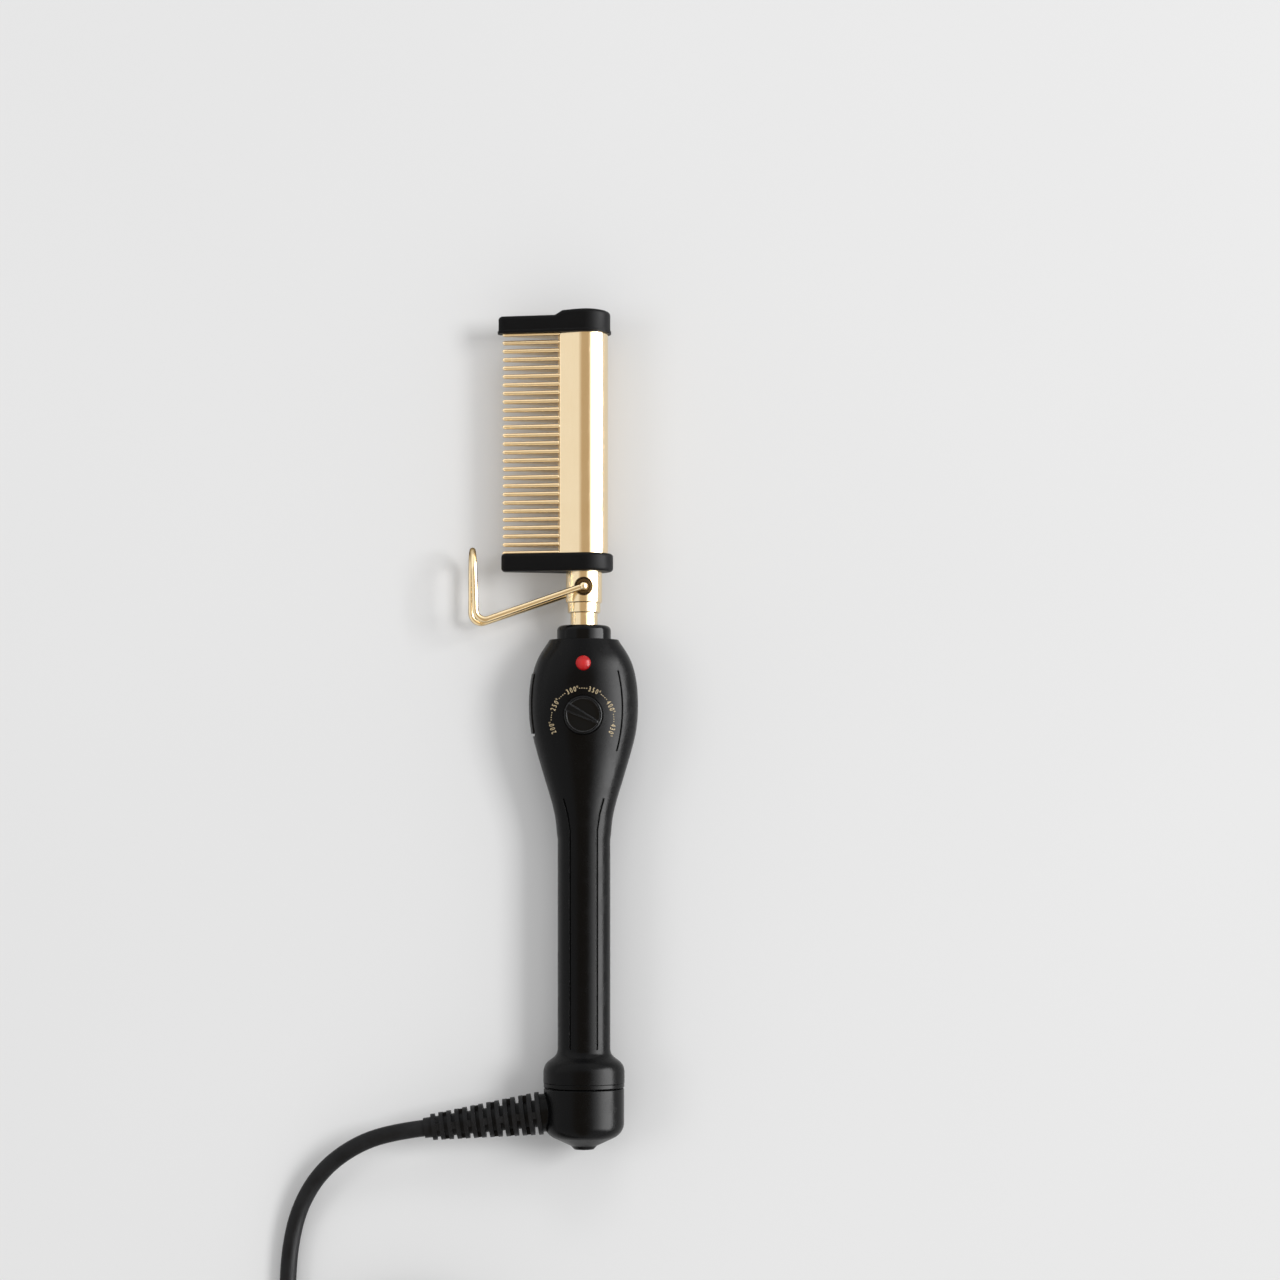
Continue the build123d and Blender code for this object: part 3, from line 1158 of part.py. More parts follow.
with BuildPart() as strain_relief:
    with BuildSketch(boot_plane(0)):
        Circle(CORE_ROOT)
    with BuildSketch(boot_plane(BOOT_LENGTH)):
        Circle(CORE_TIP)
    loft()
    for i in range(BOOT_RIBS):
        start = i * BOOT_RIB_PITCH
        with BuildSketch(boot_plane(start)):
            Circle(boot_radius(start))
        extrude(amount=RIB_WIDTH)
        if i < BOOT_RIBS - 1:
            turn = 90 * (i % 2)
            reach = boot_radius(start + BOOT_RIB_PITCH) - 0.2
            with BuildSketch(boot_plane(start + RIB_WIDTH * 0.5)):
                with Locations(Rotation(0, 0, turn)):
                    Rectangle(reach * 2, 2.4)
            extrude(amount=BOOT_RIB_PITCH)
    with BuildSketch(boot_plane(0)):
        Circle(BOOT_STEM_RADIUS)
    extrude(amount=-STEM_LENGTH)
    with BuildSketch(boot_plane(-STEM_LENGTH)):
        Circle(BOOT_STEM_RADIUS + 0.5)
    extrude(amount=-1.6)
strain_relief.part.label = "strain_relief"
export_step(strain_relief.part, "parts/strain_relief.step")

# Leads inside the swivel, from the strain relief up the spindle to the brushes
INNER_LEAD_RADIUS = 0.8
LEAD_START = boot_plane(-STEM_LENGTH - 1.6).origin
LEAD_BEND_Y = LEAD_START.Y - LEAD_START.X * math.tan(math.radians(BOOT_TILT))
with BuildPart() as swivel_leads:
    for side in (1, -1):
        lift = side * 1.4
        with BuildLine() as lead_path:
            FilletPolyline(
                (LEAD_START.X, LEAD_START.Y, AXIS_Z + lift),
                (0, LEAD_BEND_Y, AXIS_Z + lift),
                (0, FLANGE_Y, AXIS_Z + lift),
                radius=3.0,
            )
        with BuildSketch(Plane(origin=lead_path.line @ 0, z_dir=lead_path.line % 0)):
            Circle(INNER_LEAD_RADIUS)
        sweep()
swivel_leads.part.label = "swivel_leads"
export_step(swivel_leads.part, "parts/swivel_leads.step")

# ================================================================ CORD

CORD_RADIUS = CORD_DIAMETER / 2
COIL_RADIUS = COIL_DIAMETER / 2
COIL_X = -64.0
COIL_Y = -254.0
COIL_BAND = COIL_COLUMNS * TURN_PITCH
OUTER_TURN = COIL_RADIUS + (COIL_BAND - TURN_PITCH) / 2
ENTRY_Z = TIE_THICKNESS + TURN_PITCH / 2
STUB = 25.0             # straight stretch where the lead joins and leaves the coil
CORD_START = boot_plane(BOOT_LENGTH).origin
FIRST_CORNER = boot_plane(BOOT_LENGTH + 12.6).origin

# Route of the lead from the strain relief down to the floor and round to the coil
CORD_ROUTE = [
    (CORD_START.X, CORD_START.Y, CORD_START.Z),
    (FIRST_CORNER.X, FIRST_CORNER.Y, FIRST_CORNER.Z),
    (-82.6, -153.6, 12.4),
    (-94.2, -162.6, 8.6),
    (-102.2, -175.2, 5.4),
    (-106.1, -190.2, 4.0),
    (COIL_X - OUTER_TURN, -208.5, ENTRY_Z),
    (COIL_X - OUTER_TURN, COIL_Y + STUB, ENTRY_Z),
]
corners = [Vector(*point) for point in CORD_ROUTE]
runs = [b - a for a, b in zip(corners, corners[1:])]
turns = [a.get_angle(b) for a, b in zip(runs, runs[1:])]
cord_radii = [
    0.45 * min(a.length, b.length) / math.tan(math.radians(turn) / 2)
    for a, b, turn in zip(runs, runs[1:], turns)
]

with BuildPart() as cord_lead:
    with BuildLine() as cord_path:
        FilletPolyline(*CORD_ROUTE, radius=cord_radii)
    with BuildSketch(Plane(origin=cord_path.line @ 0, z_dir=cord_path.line % 0)):
        Circle(CORD_RADIUS)
    sweep()
cord_lead.part.label = "cord_lead"
export_step(cord_lead.part, "parts/cord_lead.step")

# Coil: outer shape of the wound turns, with the stubs where the lead joins and the plug leaves
COIL_TURNS = (CORD_LENGTH - cord_path.wire().length) / (math.pi * COIL_DIAMETER)
COIL_HEIGHT = math.ceil(COIL_TURNS / COIL_COLUMNS) * TURN_PITCH
PLUG_AXIS_Z = PLUG_HEIGHT / 2
with BuildPart() as cord_coil:
    with BuildSketch(Plane(origin=(COIL_X, COIL_Y, TIE_THICKNESS))):
        Circle(COIL_RADIUS + COIL_BAND / 2)
        Circle(COIL_RADIUS - COIL_BAND / 2, mode=Mode.SUBTRACT)
    extrude(amount=COIL_HEIGHT)
    fillet(cord_coil.edges(), CORD_RADIUS * 0.8)
    with BuildSketch(Plane(origin=(COIL_X - OUTER_TURN, COIL_Y, ENTRY_Z), z_dir=(0, 1, 0))):
        Circle(CORD_RADIUS)
    extrude(amount=STUB)
    with BuildSketch(Plane(origin=(COIL_X, COIL_Y - OUTER_TURN, PLUG_AXIS_Z), z_dir=(1, 0, 0))):
        Circle(CORD_RADIUS)
    extrude(amount=STUB)
cord_coil.part.label = "cord_coil"
export_step(cord_coil.part, "parts/cord_coil.step")

# Tie round the coil's band
with BuildPart() as coil_tie:
    with BuildSketch(
        Plane(
            origin=(COIL_X + COIL_RADIUS, COIL_Y, TIE_THICKNESS + COIL_HEIGHT / 2),
            x_dir=(1, 0, 0),
            z_dir=(0, 1, 0),
        )
    ):
        RectangleRounded(COIL_BAND + 2 * TIE_THICKNESS + 0.6, COIL_HEIGHT + 2 * TIE_THICKNESS, 3.0)
        RectangleRounded(COIL_BAND + 0.6, COIL_HEIGHT, 2.4, mode=Mode.SUBTRACT)
    extrude(amount=TIE_WIDTH / 2, both=True)
coil_tie.part.label = "coil_tie"
export_step(coil_tie.part, "parts/coil_tie.step")

# Plug: boot, body with a waist for the fingers, and two flat blades
PLUG_Y = COIL_Y - OUTER_TURN
PLUG_BOOT_X = COIL_X + STUB
PLUG_BOOT_LENGTH = 18.0


def plug_plane(x):
    """Return a plane across the plug: local x is -Y, local y is up."""
    return Plane(origin=(x, PLUG_Y, PLUG_AXIS_Z), x_dir=(0, 1, 0), z_dir=(1, 0, 0))


PLUG_BODY_X = PLUG_BOOT_X + PLUG_BOOT_LENGTH
with BuildPart() as plug_boot:
    with BuildSketch(plug_plane(PLUG_BOOT_X)):
        Circle(CORD_RADIUS + 0.9)
    with BuildSketch(plug_plane(PLUG_BODY_X)):
        Circle(CORD_RADIUS + 2.6)
    loft()
plug_boot.part.label = "plug_boot"
export_step(plug_boot.part, "parts/plug_boot.step")

with BuildPart() as plug_body:
    for along, width, height in ((0, 0.62, 0.72), (0.45, 0.8, 0.86), (0.8, 1.0, 1.0), (1.0, 1.0, 1.0)):
        with BuildSketch(plug_plane(PLUG_BODY_X + PLUG_LENGTH * along)):
            RectangleRounded(PLUG_WIDTH * width, PLUG_HEIGHT * height, PLUG_HEIGHT * height * 0.3)
    loft(ruled=True)
plug_body.part.label = "plug_body"
export_step(plug_body.part, "parts/plug_body.step")

with BuildPart() as plug_blades:
    for side in (1, -1):
        with BuildSketch(plug_plane(PLUG_BODY_X + PLUG_LENGTH)):
            with Locations((side * BLADE_SPACING / 2, 0)):
                Rectangle(BLADE_THICKNESS, BLADE_HEIGHT)
        extrude(amount=BLADE_LENGTH)
    fillet(plug_blades.edges().filter_by(Axis.Y).sort_by(Axis.X)[-4:], BLADE_THICKNESS * 0.9)
plug_blades.part.label = "plug_blades"
export_step(plug_blades.part, "parts/plug_blades.step")
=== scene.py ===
import logging
import math
from dataclasses import dataclass
from enum import Enum

import bmesh
import bpy
from mathutils import Matrix, Vector
from mathutils.bvhtree import BVHTree


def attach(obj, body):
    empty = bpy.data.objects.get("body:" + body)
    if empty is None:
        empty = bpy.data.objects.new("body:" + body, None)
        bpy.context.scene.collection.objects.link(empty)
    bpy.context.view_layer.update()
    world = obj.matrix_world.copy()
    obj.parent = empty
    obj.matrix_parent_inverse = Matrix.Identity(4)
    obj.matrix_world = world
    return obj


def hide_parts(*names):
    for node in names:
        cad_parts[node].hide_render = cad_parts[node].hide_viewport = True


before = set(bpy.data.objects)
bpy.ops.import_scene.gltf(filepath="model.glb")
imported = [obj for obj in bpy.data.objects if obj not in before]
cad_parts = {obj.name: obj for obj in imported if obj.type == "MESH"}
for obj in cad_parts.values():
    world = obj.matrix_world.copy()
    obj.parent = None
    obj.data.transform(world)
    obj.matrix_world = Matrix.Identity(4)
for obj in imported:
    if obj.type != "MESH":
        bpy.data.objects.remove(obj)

LOG = logging.getLogger("hot_comb")
MM = 0.001
AXIS_Z = 14.6 * MM
TOUCHING = 0.0001 * MM
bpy.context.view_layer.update()  # read before any new piece is made

Colour = tuple[float, float, float]
Point = tuple[float, float, float]
Socket = bpy.types.NodeSocket


class Body(Enum):
    """The rigid bodies that new pieces ride on."""

    COMB = "comb"
    SWIVEL = "swivel"


class Axis(Enum):
    """A direction along which a finish is drawn out, as its pattern's scale on each axis."""

    NONE = (1.0, 1.0, 1.0)
    ALONG_HANDLE = (1.0, 0.04, 1.0)
    ACROSS = (0.05, 1.0, 1.0)


# ---------------------------------------------------------------- shading


class Shade:
    """A socket that works as a number in Python expressions."""

    def __init__(self, tree: "Tree", socket: Socket) -> None:
        """Wraps a socket of a tree.

        Args:
            tree: The tree that the socket belongs to.
            socket: The output socket.
        """
        self.tree = tree
        self.socket = socket

    def _maths(self, operation: str, first: "Shade | float", second: "Shade | float") -> "Shade":
        """Adds one Math node.

        Args:
            operation: The Math node's operation.
            first: Its first value.
            second: Its second value.

        Returns:
            The result.
        """
        node = self.tree.node("ShaderNodeMath", {"operation": operation}, {0: first, 1: second})
        return Shade(self.tree, node.outputs[0])

    def __add__(self, other: "Shade | float") -> "Shade":
        """self + other."""
        return self._maths("ADD", self, other)

    def __radd__(self, other: float) -> "Shade":
        """other + self."""
        return self._maths("ADD", other, self)

    def __sub__(self, other: "Shade | float") -> "Shade":
        """self - other."""
        return self._maths("SUBTRACT", self, other)

    def __rsub__(self, other: float) -> "Shade":
        """other - self."""
        return self._maths("SUBTRACT", other, self)

    def __mul__(self, other: "Shade | float") -> "Shade":
        """self * other."""
        return self._maths("MULTIPLY", self, other)

    def __rmul__(self, other: float) -> "Shade":
        """other * self."""
        return self._maths("MULTIPLY", other, self)

    def __truediv__(self, other: "Shade | float") -> "Shade":
        """self / other."""
        return self._maths("DIVIDE", self, other)

    def __pow__(self, other: "Shade | float") -> "Shade":
        """self ** other."""
        return self._maths("POWER", self, other)

    def __gt__(self, other: "Shade | float") -> "Shade":
        """1 where self is above other, else 0."""
        return self._maths("GREATER_THAN", self, other)

    def __mod__(self, other: "Shade | float") -> "Shade":
        """self % other, never negative for a positive other."""
        return self._maths("FLOORED_MODULO", self, other)

    def size(self) -> "Shade":
        """The absolute value."""
        return self._maths("ABSOLUTE", self, 0.0)

    def ease(self, low: float, high: float) -> "Shade":
        """Rises smoothly from 0 to 1.

        Args:
            low: The value at which the result is 0.
            high: The value at which the result is 1.

        Returns:
            The eased value.
        """
        settings = {"interpolation_type": "SMOOTHSTEP"}
        node = self.tree.node("ShaderNodeMapRange", settings, {0: self, 1: low, 2: high})
        return Shade(self.tree, node.outputs[0])


class Tree:
    """A node tree, with a method that makes any node and others for what the finishes share."""

    NOISE_ROUGHNESS = 0.55
    BEVEL_SAMPLES = 4
    EDGE_TURN = (0.01, 0.2)

    def __init__(self, nodes: bpy.types.NodeTree) -> None:
        """Takes an empty node tree to fill."""
        self.nodes = nodes

    def node(
        self, kind: str, settings: dict | None = None, inputs: dict | None = None
    ) -> bpy.types.Node:
        """Makes a node.

        Args:
            kind: The node's type.
            settings: Its own settings, such as an operation.
            inputs: Its sockets by name or number, each a value, a Shade or a socket.

        Returns:
            The node.
        """
        node = self.nodes.nodes.new(kind)
        for name, value in (settings or {}).items():
            setattr(node, name, value)
        for key, value in (inputs or {}).items():
            if isinstance(value, Shade):
                self.nodes.links.new(value.socket, node.inputs[key])
            elif isinstance(value, Socket):
                self.nodes.links.new(value, node.inputs[key])
            else:
                node.inputs[key].default_value = value
        return node

    def here(self, stretch: Axis = Axis.NONE) -> Socket:
        """The place on the object in millimetres.

        Args:
            stretch: The direction along which patterns are drawn out.

        Returns:
            The vector socket.
        """
        coordinates = self.node("ShaderNodeTexCoord")
        scale = tuple(part / MM for part in stretch.value)
        inputs = {"Vector": coordinates.outputs["Object"], "Scale": scale}
        return self.node("ShaderNodeMapping", None, inputs).outputs[0]

    def noise(self, place: Socket, feature: float, detail: float = 2.0) -> Shade:
        """A soft random pattern.

        Args:
            place: Where to read it, in millimetres.
            feature: The size of its lumps in millimetres.
            detail: How many finer layers it has.

        Returns:
            The pattern, from 0 to 1.
        """
        inputs = {
            "Vector": place,
            "Scale": 1.0 / feature,
            "Detail": detail,
            "Roughness": self.NOISE_ROUGHNESS,
        }
        return Shade(self, self.node("ShaderNodeTexNoise", None, inputs).outputs[0])

    def cells(self, place: Socket, feature: float, reading: str = "F1") -> Shade:
        """Distance within random cells.

        Args:
            place: Where to read it, in millimetres.
            feature: The size of a cell in millimetres.
            reading: Which distance is read.

        Returns:
            The distance, in cells.
        """
        inputs = {"Vector": place, "Scale": 1.0 / feature}
        node = self.node("ShaderNodeTexVoronoi", {"feature": reading}, inputs)
        return Shade(self, node.outputs["Distance"])

    def axes(self, place: Socket) -> tuple[Shade, Shade, Shade]:
        """A vector's three parts."""
        node = self.node("ShaderNodeSeparateXYZ", None, {0: place})
        return tuple(Shade(self, socket) for socket in node.outputs)

    def blend(self, factor: "Shade | float", first: object, second: object) -> Socket:
        """Mixes two colours.

        Args:
            factor: 0 for the first colour, 1 for the second.
            first: The first colour or socket.
            second: The second colour or socket.

        Returns:
            The mixed colour's socket.
        """
        sides = [(*side, 1.0) if isinstance(side, tuple) else side for side in (first, second)]
        inputs = {0: factor, 6: sides[0], 7: sides[1]}
        return self.node("ShaderNodeMix", {"data_type": "RGBA"}, inputs).outputs[2]

    def relief(self, height: Shade, depth: float, under: Socket | None = None) -> Socket:
        """Turns a height into a normal.

        Args:
            height: The height, from 0 to 1.
            depth: How deep the whole range is, in millimetres.
            under: A coarser relief that this one lies on.

        Returns:
            The normal's socket.
        """
        inputs = {"Height": height, "Distance": depth * MM, "Strength": 1.0}
        if under is not None:
            inputs["Normal"] = under
        return self.node("ShaderNodeBump", None, inputs).outputs[0]

    def edges(self, reach: float) -> tuple[Shade, Socket]:
        """Where the surface turns sharply, and its normal with those edges rounded.

        Args:
            reach: How far it reaches from an edge, in millimetres.

        Returns:
            0 on open surfaces, up to 1 on edges, and the rounded normal's socket.
        """
        settings = {"samples": self.BEVEL_SAMPLES}
        rounded = self.node("ShaderNodeBevel", settings, {"Radius": reach * MM})
        plain = self.node("ShaderNodeNewGeometry")
        sides = {0: rounded.outputs[0], 1: plain.outputs["Normal"]}
        facing = self.node("ShaderNodeVectorMath", {"operation": "DOT_PRODUCT"}, sides)
        turn = 1 - Shade(self, facing.outputs["Value"])
        return turn.ease(*self.EDGE_TURN), rounded.outputs[0]

    def finish(self, inputs: dict) -> None:
        """Ends the tree in a Principled BSDF.

        Args:
            inputs: The shader's sockets by name.
        """
        shader = self.node("ShaderNodeBsdfPrincipled", None, inputs)
        output = self.node("ShaderNodeOutputMaterial")
        self.nodes.links.new(shader.outputs[0], output.inputs["Surface"])


def empty_tree(owner: bpy.types.Material | bpy.types.World) -> Tree:
    """Clears away the nodes that a new material or world starts with.

    Args:
        owner: The material or world.

    Returns:
        Its tree, empty.
    """
    owner.use_nodes = True
    owner.node_tree.nodes.clear()
    return Tree(owner.node_tree)


# ---------------------------------------------------------------- finishes


@dataclass(frozen=True)
class Finish:
    """What a surface is made of. Each kind of finish fills in its own nodes."""

    title: str
    slot: str
    colour: Colour
    other: Colour
    roughness: float

    def paint(self, tree: Tree) -> None:
        """Fills the material's tree.

        Args:
            tree: The tree, empty.
        """
        raise NotImplementedError

    def material(self) -> bpy.types.Material:
        """Finds the finish's material, or makes it on first use.

        Returns:
            The material.
        """
        made = bpy.data.materials.get(self.title)
        if made is None:
            made = bpy.data.materials.new(self.title)
            self.paint(empty_tree(made))
            made.diffuse_color = (*self.colour, 1.0)
        return made


@dataclass(frozen=True)
class Moulding(Finish):
    """Moulded plastic: grained, cloudy tone, rubbed patches, lint; edges lightened by wear and
    painted highlight.
    """

    grain: float = 0.35
    grain_depth: float = 0.012
    specular: float = 0.45
    coat: float = 0.0
    edge: float = 0.35
    # How much the edges are lightened, both as rubbed wear and as painted highlight.
    wear_and_highlight: float = 0.1

    # Colour of the lightened edges: worn plastic and painted highlight together.
    WORN_AND_HIGHLIGHT = (0.16, 0.16, 0.165)
    COAT_ROUGHNESS = 0.08
    RUB_SIZE = 6.0
    CLOUD_SIZE = 16.0
    LINT_SPACING = 2.6
    WEAR_SIZE = 2.2

    def paint(self, tree: Tree) -> None:
        """Fills the material's tree.

        Args:
            tree: The tree, empty.
        """
        place = tree.here()
        grain = tree.noise(place, self.grain, 3.0)
        rubbed = tree.noise(place, self.RUB_SIZE, 4.0).ease(0.35, 0.75)
        cloud = tree.noise(place, self.CLOUD_SIZE)
        off_lint = tree.cells(place, self.LINT_SPACING).ease(0.0, 0.09)
        corner, rounded = tree.edges(self.edge)
        # Edges are painted lighter: partly rubbed wear, partly a painted highlight where light
        # catches them.
        edge = corner * tree.noise(place, self.WEAR_SIZE, 3.0).ease(0.2, 0.6)
        tone = tree.blend(cloud * 0.6 + grain * 0.4, self.colour, self.other)
        lint = tuple(min(1.0, 2.2 * part + 0.01) for part in self.other)
        dusty = tree.blend((1 - off_lint) * 0.35, tone, lint)
        polished = self.roughness * (1 - edge * 0.3)
        tree.finish(
            {
                "Base Color": tree.blend(edge * self.wear_and_highlight, dusty, self.WORN_AND_HIGHLIGHT),
                "Roughness": polished + (rubbed - 0.5) * 0.1 + (grain - 0.5) * 0.08,
                "Specular IOR Level": self.specular,
                "Coat Weight": self.coat,
                "Coat Roughness": self.COAT_ROUGHNESS,
                "Normal": tree.relief(grain, self.grain_depth, rounded),
            }
        )


@dataclass(frozen=True)
class Plating(Finish):
    """Bright metal: fine drawn lines, soft heat tint, hairline scratches and edges worn pale."""

    drawn: Axis = Axis.ALONG_HANDLE
    line: float = 0.22
    line_depth: float = 0.0015
    # Tint of the reflection at grazing angles; a dark tint paints shade along the edges, as if they
    # mirrored dark surroundings.
    rim: Colour = (1.0, 1.0, 1.0)

    EDGE = 0.25
    TINT_SIZE = 11.0
    SMUDGE_SIZE = 4.0
    SCRATCH_SPACING = 1.9
    WEAR_SIZE = 1.6
    WHITENED = 0.9

    def paint(self, tree: Tree) -> None:
        """Fills the material's tree.

        Args:
            tree: The tree, empty.
        """
        place = tree.here()
        lines = tree.noise(tree.here(self.drawn), self.line, 3.0)
        tint = tree.noise(place, self.TINT_SIZE, 3.0)
        smudge = tree.noise(place, self.SMUDGE_SIZE, 5.0).ease(0.42, 0.8)
        gap = tree.cells(tree.here(self.drawn), self.SCRATCH_SPACING, "DISTANCE_TO_EDGE")
        scratch = 1 - gap.ease(0.0, 0.025)
        corner, rounded = tree.edges(self.EDGE)
        edge = corner * tree.noise(place, self.WEAR_SIZE, 3.0).ease(0.35, 0.7)
        tone = tree.blend(tint * 0.5 + lines * 0.5, self.colour, self.other)
        pale = tuple(part + 0.5 * (self.WHITENED - part) for part in self.other)
        dulled = self.roughness + smudge * 0.07 + (lines - 0.5) * 0.08 + scratch * 0.05
        tree.finish(
            {
                "Base Color": tree.blend(edge * 0.4, tone, pale),
                "Metallic": 1.0,
                "Specular Tint": (*self.rim, 1.0),
                "Roughness": dulled,
                "Normal": tree.relief(lines - scratch * 0.3, self.line_depth, rounded),
            }
        )


@dataclass(frozen=True)
class Rubber(Finish):
    """Flexible moulding: dull skin with fine pores and a dusty bloom."""

    pore: float = 0.5
    depth: float = 0.02

    SPECULAR = 0.1
    BLOOM_SIZE = 7.0

    def paint(self, tree: Tree) -> None:
        """Fills the material's tree.

        Args:
            tree: The tree, empty.
        """
        place = tree.here()
        pores = tree.noise(place, self.pore, 3.0)
        bloom = tree.noise(place, self.BLOOM_SIZE, 4.0).ease(0.3, 0.8)
        tree.finish(
            {
                "Base Color": tree.blend(bloom * 0.7 + pores * 0.3, self.colour, self.other),
                "Roughness": self.roughness + (bloom - 0.5) * 0.14,
                "Specular IOR Level": self.SPECULAR,
                "Normal": tree.relief(pores, self.depth),
            }
        )


@dataclass(frozen=True)
class RedLens(Finish):
    """Translucent red lamp lens: a painted glow at its core, also emitted faintly, with inner ribs
    showing through.
    """

    centre: tuple[float, float] = (0.0, 18.4)
    glow_reach: float = 2.3
    rib_pitch: float = 0.62

    SPECULAR = 0.15
    COAT = 0.12
    COAT_ROUGHNESS = 0.03
    GLOW = 0.06

    def paint(self, tree: Tree) -> None:
        """Fills the material's tree.

        Args:
            tree: The tree, empty.
        """
        x, y, _ = tree.axes(tree.here())
        across = x - self.centre[0]
        along = y - self.centre[1]
        spread = (across * across + along * along) ** 0.5
        glow_painted_and_emitted = 1 - spread.ease(0.2, self.glow_reach)
        ribs = ((spread % self.rib_pitch) / self.rib_pitch - 0.5).size() * 2.0
        glow = tree.blend(glow_painted_and_emitted * 0.75 + ribs * 0.25, self.colour, self.other)
        tree.finish(
            {
                # The core is painted brighter in the base colour: painted glow of the lamp behind
                # the lens.
                "Base Color": tree.blend(glow_painted_and_emitted * 0.6 + ribs * 0.3, self.colour, self.other),
                "Roughness": self.roughness + tree.noise(tree.here(), 1.2) * 0.05,
                "Specular IOR Level": self.SPECULAR,
                "Coat Weight": self.COAT,
                "Coat Roughness": self.COAT_ROUGHNESS,
                # The same core also glows faintly as the indicator lamp.
                "Emission Color": glow,
                "Emission Strength": self.GLOW,
            }
        )


@dataclass(frozen=True)
class Foil(Finish):
    """Hot-stamped foil print with worn pinholes."""

    SPECULAR = 0.08
    PINHOLE = 0.28

    def paint(self, tree: Tree) -> None:
        """Fills the material's tree.

        Args:
            tree: The tree, empty.
        """
        place = tree.here()
        worn = tree.noise(place, self.PINHOLE, 4.0).ease(0.52, 0.74)
        tree.finish(
            {
                "Base Color": tree.blend(worn * 0.5, self.colour, self.other),
                "Specular IOR Level": self.SPECULAR,
                "Roughness": self.roughness + worn * 0.2,
            }
        )


@dataclass(frozen=True)
class Board(Finish):
    """Solder mask over copper tracks, with round tinned pads."""

    track_pitch: float = 2.2
    pad_spacing: float = 2.9
    wander: float = 3.0

    WANDER_SIZE = 5.0
    TIN = (0.62, 0.6, 0.55)
    TRACK_HEIGHT = 0.04

    def paint(self, tree: Tree) -> None:
        """Fills the material's tree.

        Args:
            tree: The tree, empty.
        """
        place = tree.here()
        x = tree.axes(place)[0]
        across = x + tree.noise(place, self.WANDER_SIZE, 1.0) * self.wander
        off_track = (across % self.track_pitch - self.track_pitch / 2).size().ease(0.35, 0.5)
        off_pad = tree.cells(place, self.pad_spacing).ease(0.2, 0.26)
        mask = tree.blend(off_track, self.other, self.colour)
        tree.finish(
            {
                "Base Color": tree.blend(off_pad, self.TIN, mask),
                "Metallic": (1 - off_pad) * 0.9,
                "Roughness": self.roughness + tree.noise(place, 1.0) * 0.1,
                "Normal": tree.relief(1 - off_track, self.TRACK_HEIGHT),
            }
        )


@dataclass(frozen=True)
class Banded(Finish):
    """Lacquer with painted rings round a part that lies along the handle."""

    start: float = -20.0
    pitch: float = 1.35

    RED = (0.35, 0.04, 0.02)
    BROWN = (0.05, 0.03, 0.02)
    COAT = 0.4

    def paint(self, tree: Tree) -> None:
        """Fills the material's tree.

        Args:
            tree: The tree, empty.
        """
        place = tree.here()
        y = tree.axes(place)[1]
        ring = ((y - self.start) % self.pitch - self.pitch / 2).size() > self.pitch * 0.32
        hue = tree.noise(tree.here(Axis.ACROSS), 1.3, 0.0).ease(0.35, 0.65)
        paint = tree.blend(hue, self.RED, self.BROWN)
        tree.finish(
            {
                "Base Color": tree.blend(ring, self.colour, paint),
                "Roughness": self.roughness + tree.noise(place, 0.8) * 0.1,
                "Coat Weight": self.COAT,
            }
        )


@dataclass(frozen=True)
class Glass(Finish):
    """Clear glass bulb or bead with a brown cloud inside."""

    CLOUD_SIZE = 0.9
    COAT = 0.8

    def paint(self, tree: Tree) -> None:
        """Fills the material's tree.

        Args:
            tree: The tree, empty.
        """
        place = tree.here()
        cloud = tree.noise(place, self.CLOUD_SIZE, 3.0)
        tree.finish(
            {
                "Base Color": tree.blend(cloud, self.colour, self.other),
                "Roughness": self.roughness + cloud * 0.04,
                "Alpha": 0.55 + cloud * 0.3,
                "Coat Weight": self.COAT,
            }
        )


@dataclass(frozen=True)
class Weave(Finish):
    """Woven strap: crossing ribs of nylon yarn."""

    yarn: float = 0.55

    SPECULAR = 0.1
    RIB_HEIGHT = 0.12

    def paint(self, tree: Tree) -> None:
        """Fills the material's tree.

        Args:
            tree: The tree, empty.
        """
        place = tree.here()
        x, y, z = tree.axes(place)
        warp = (((x + z) % self.yarn) / self.yarn - 0.5).size() * 2.0
        weft = ((y % self.yarn) / self.yarn - 0.5).size() * 2.0
        cloth = 1 - warp * weft
        fuzz = tree.noise(place, 0.2, 3.0)
        tree.finish(
            {
                "Base Color": tree.blend(cloth * 0.7 + fuzz * 0.3, self.colour, self.other),
                "Roughness": self.roughness + (fuzz - 0.5) * 0.1,
                "Specular IOR Level": self.SPECULAR,
                "Normal": tree.relief(cloth, self.RIB_HEIGHT),
            }
        )


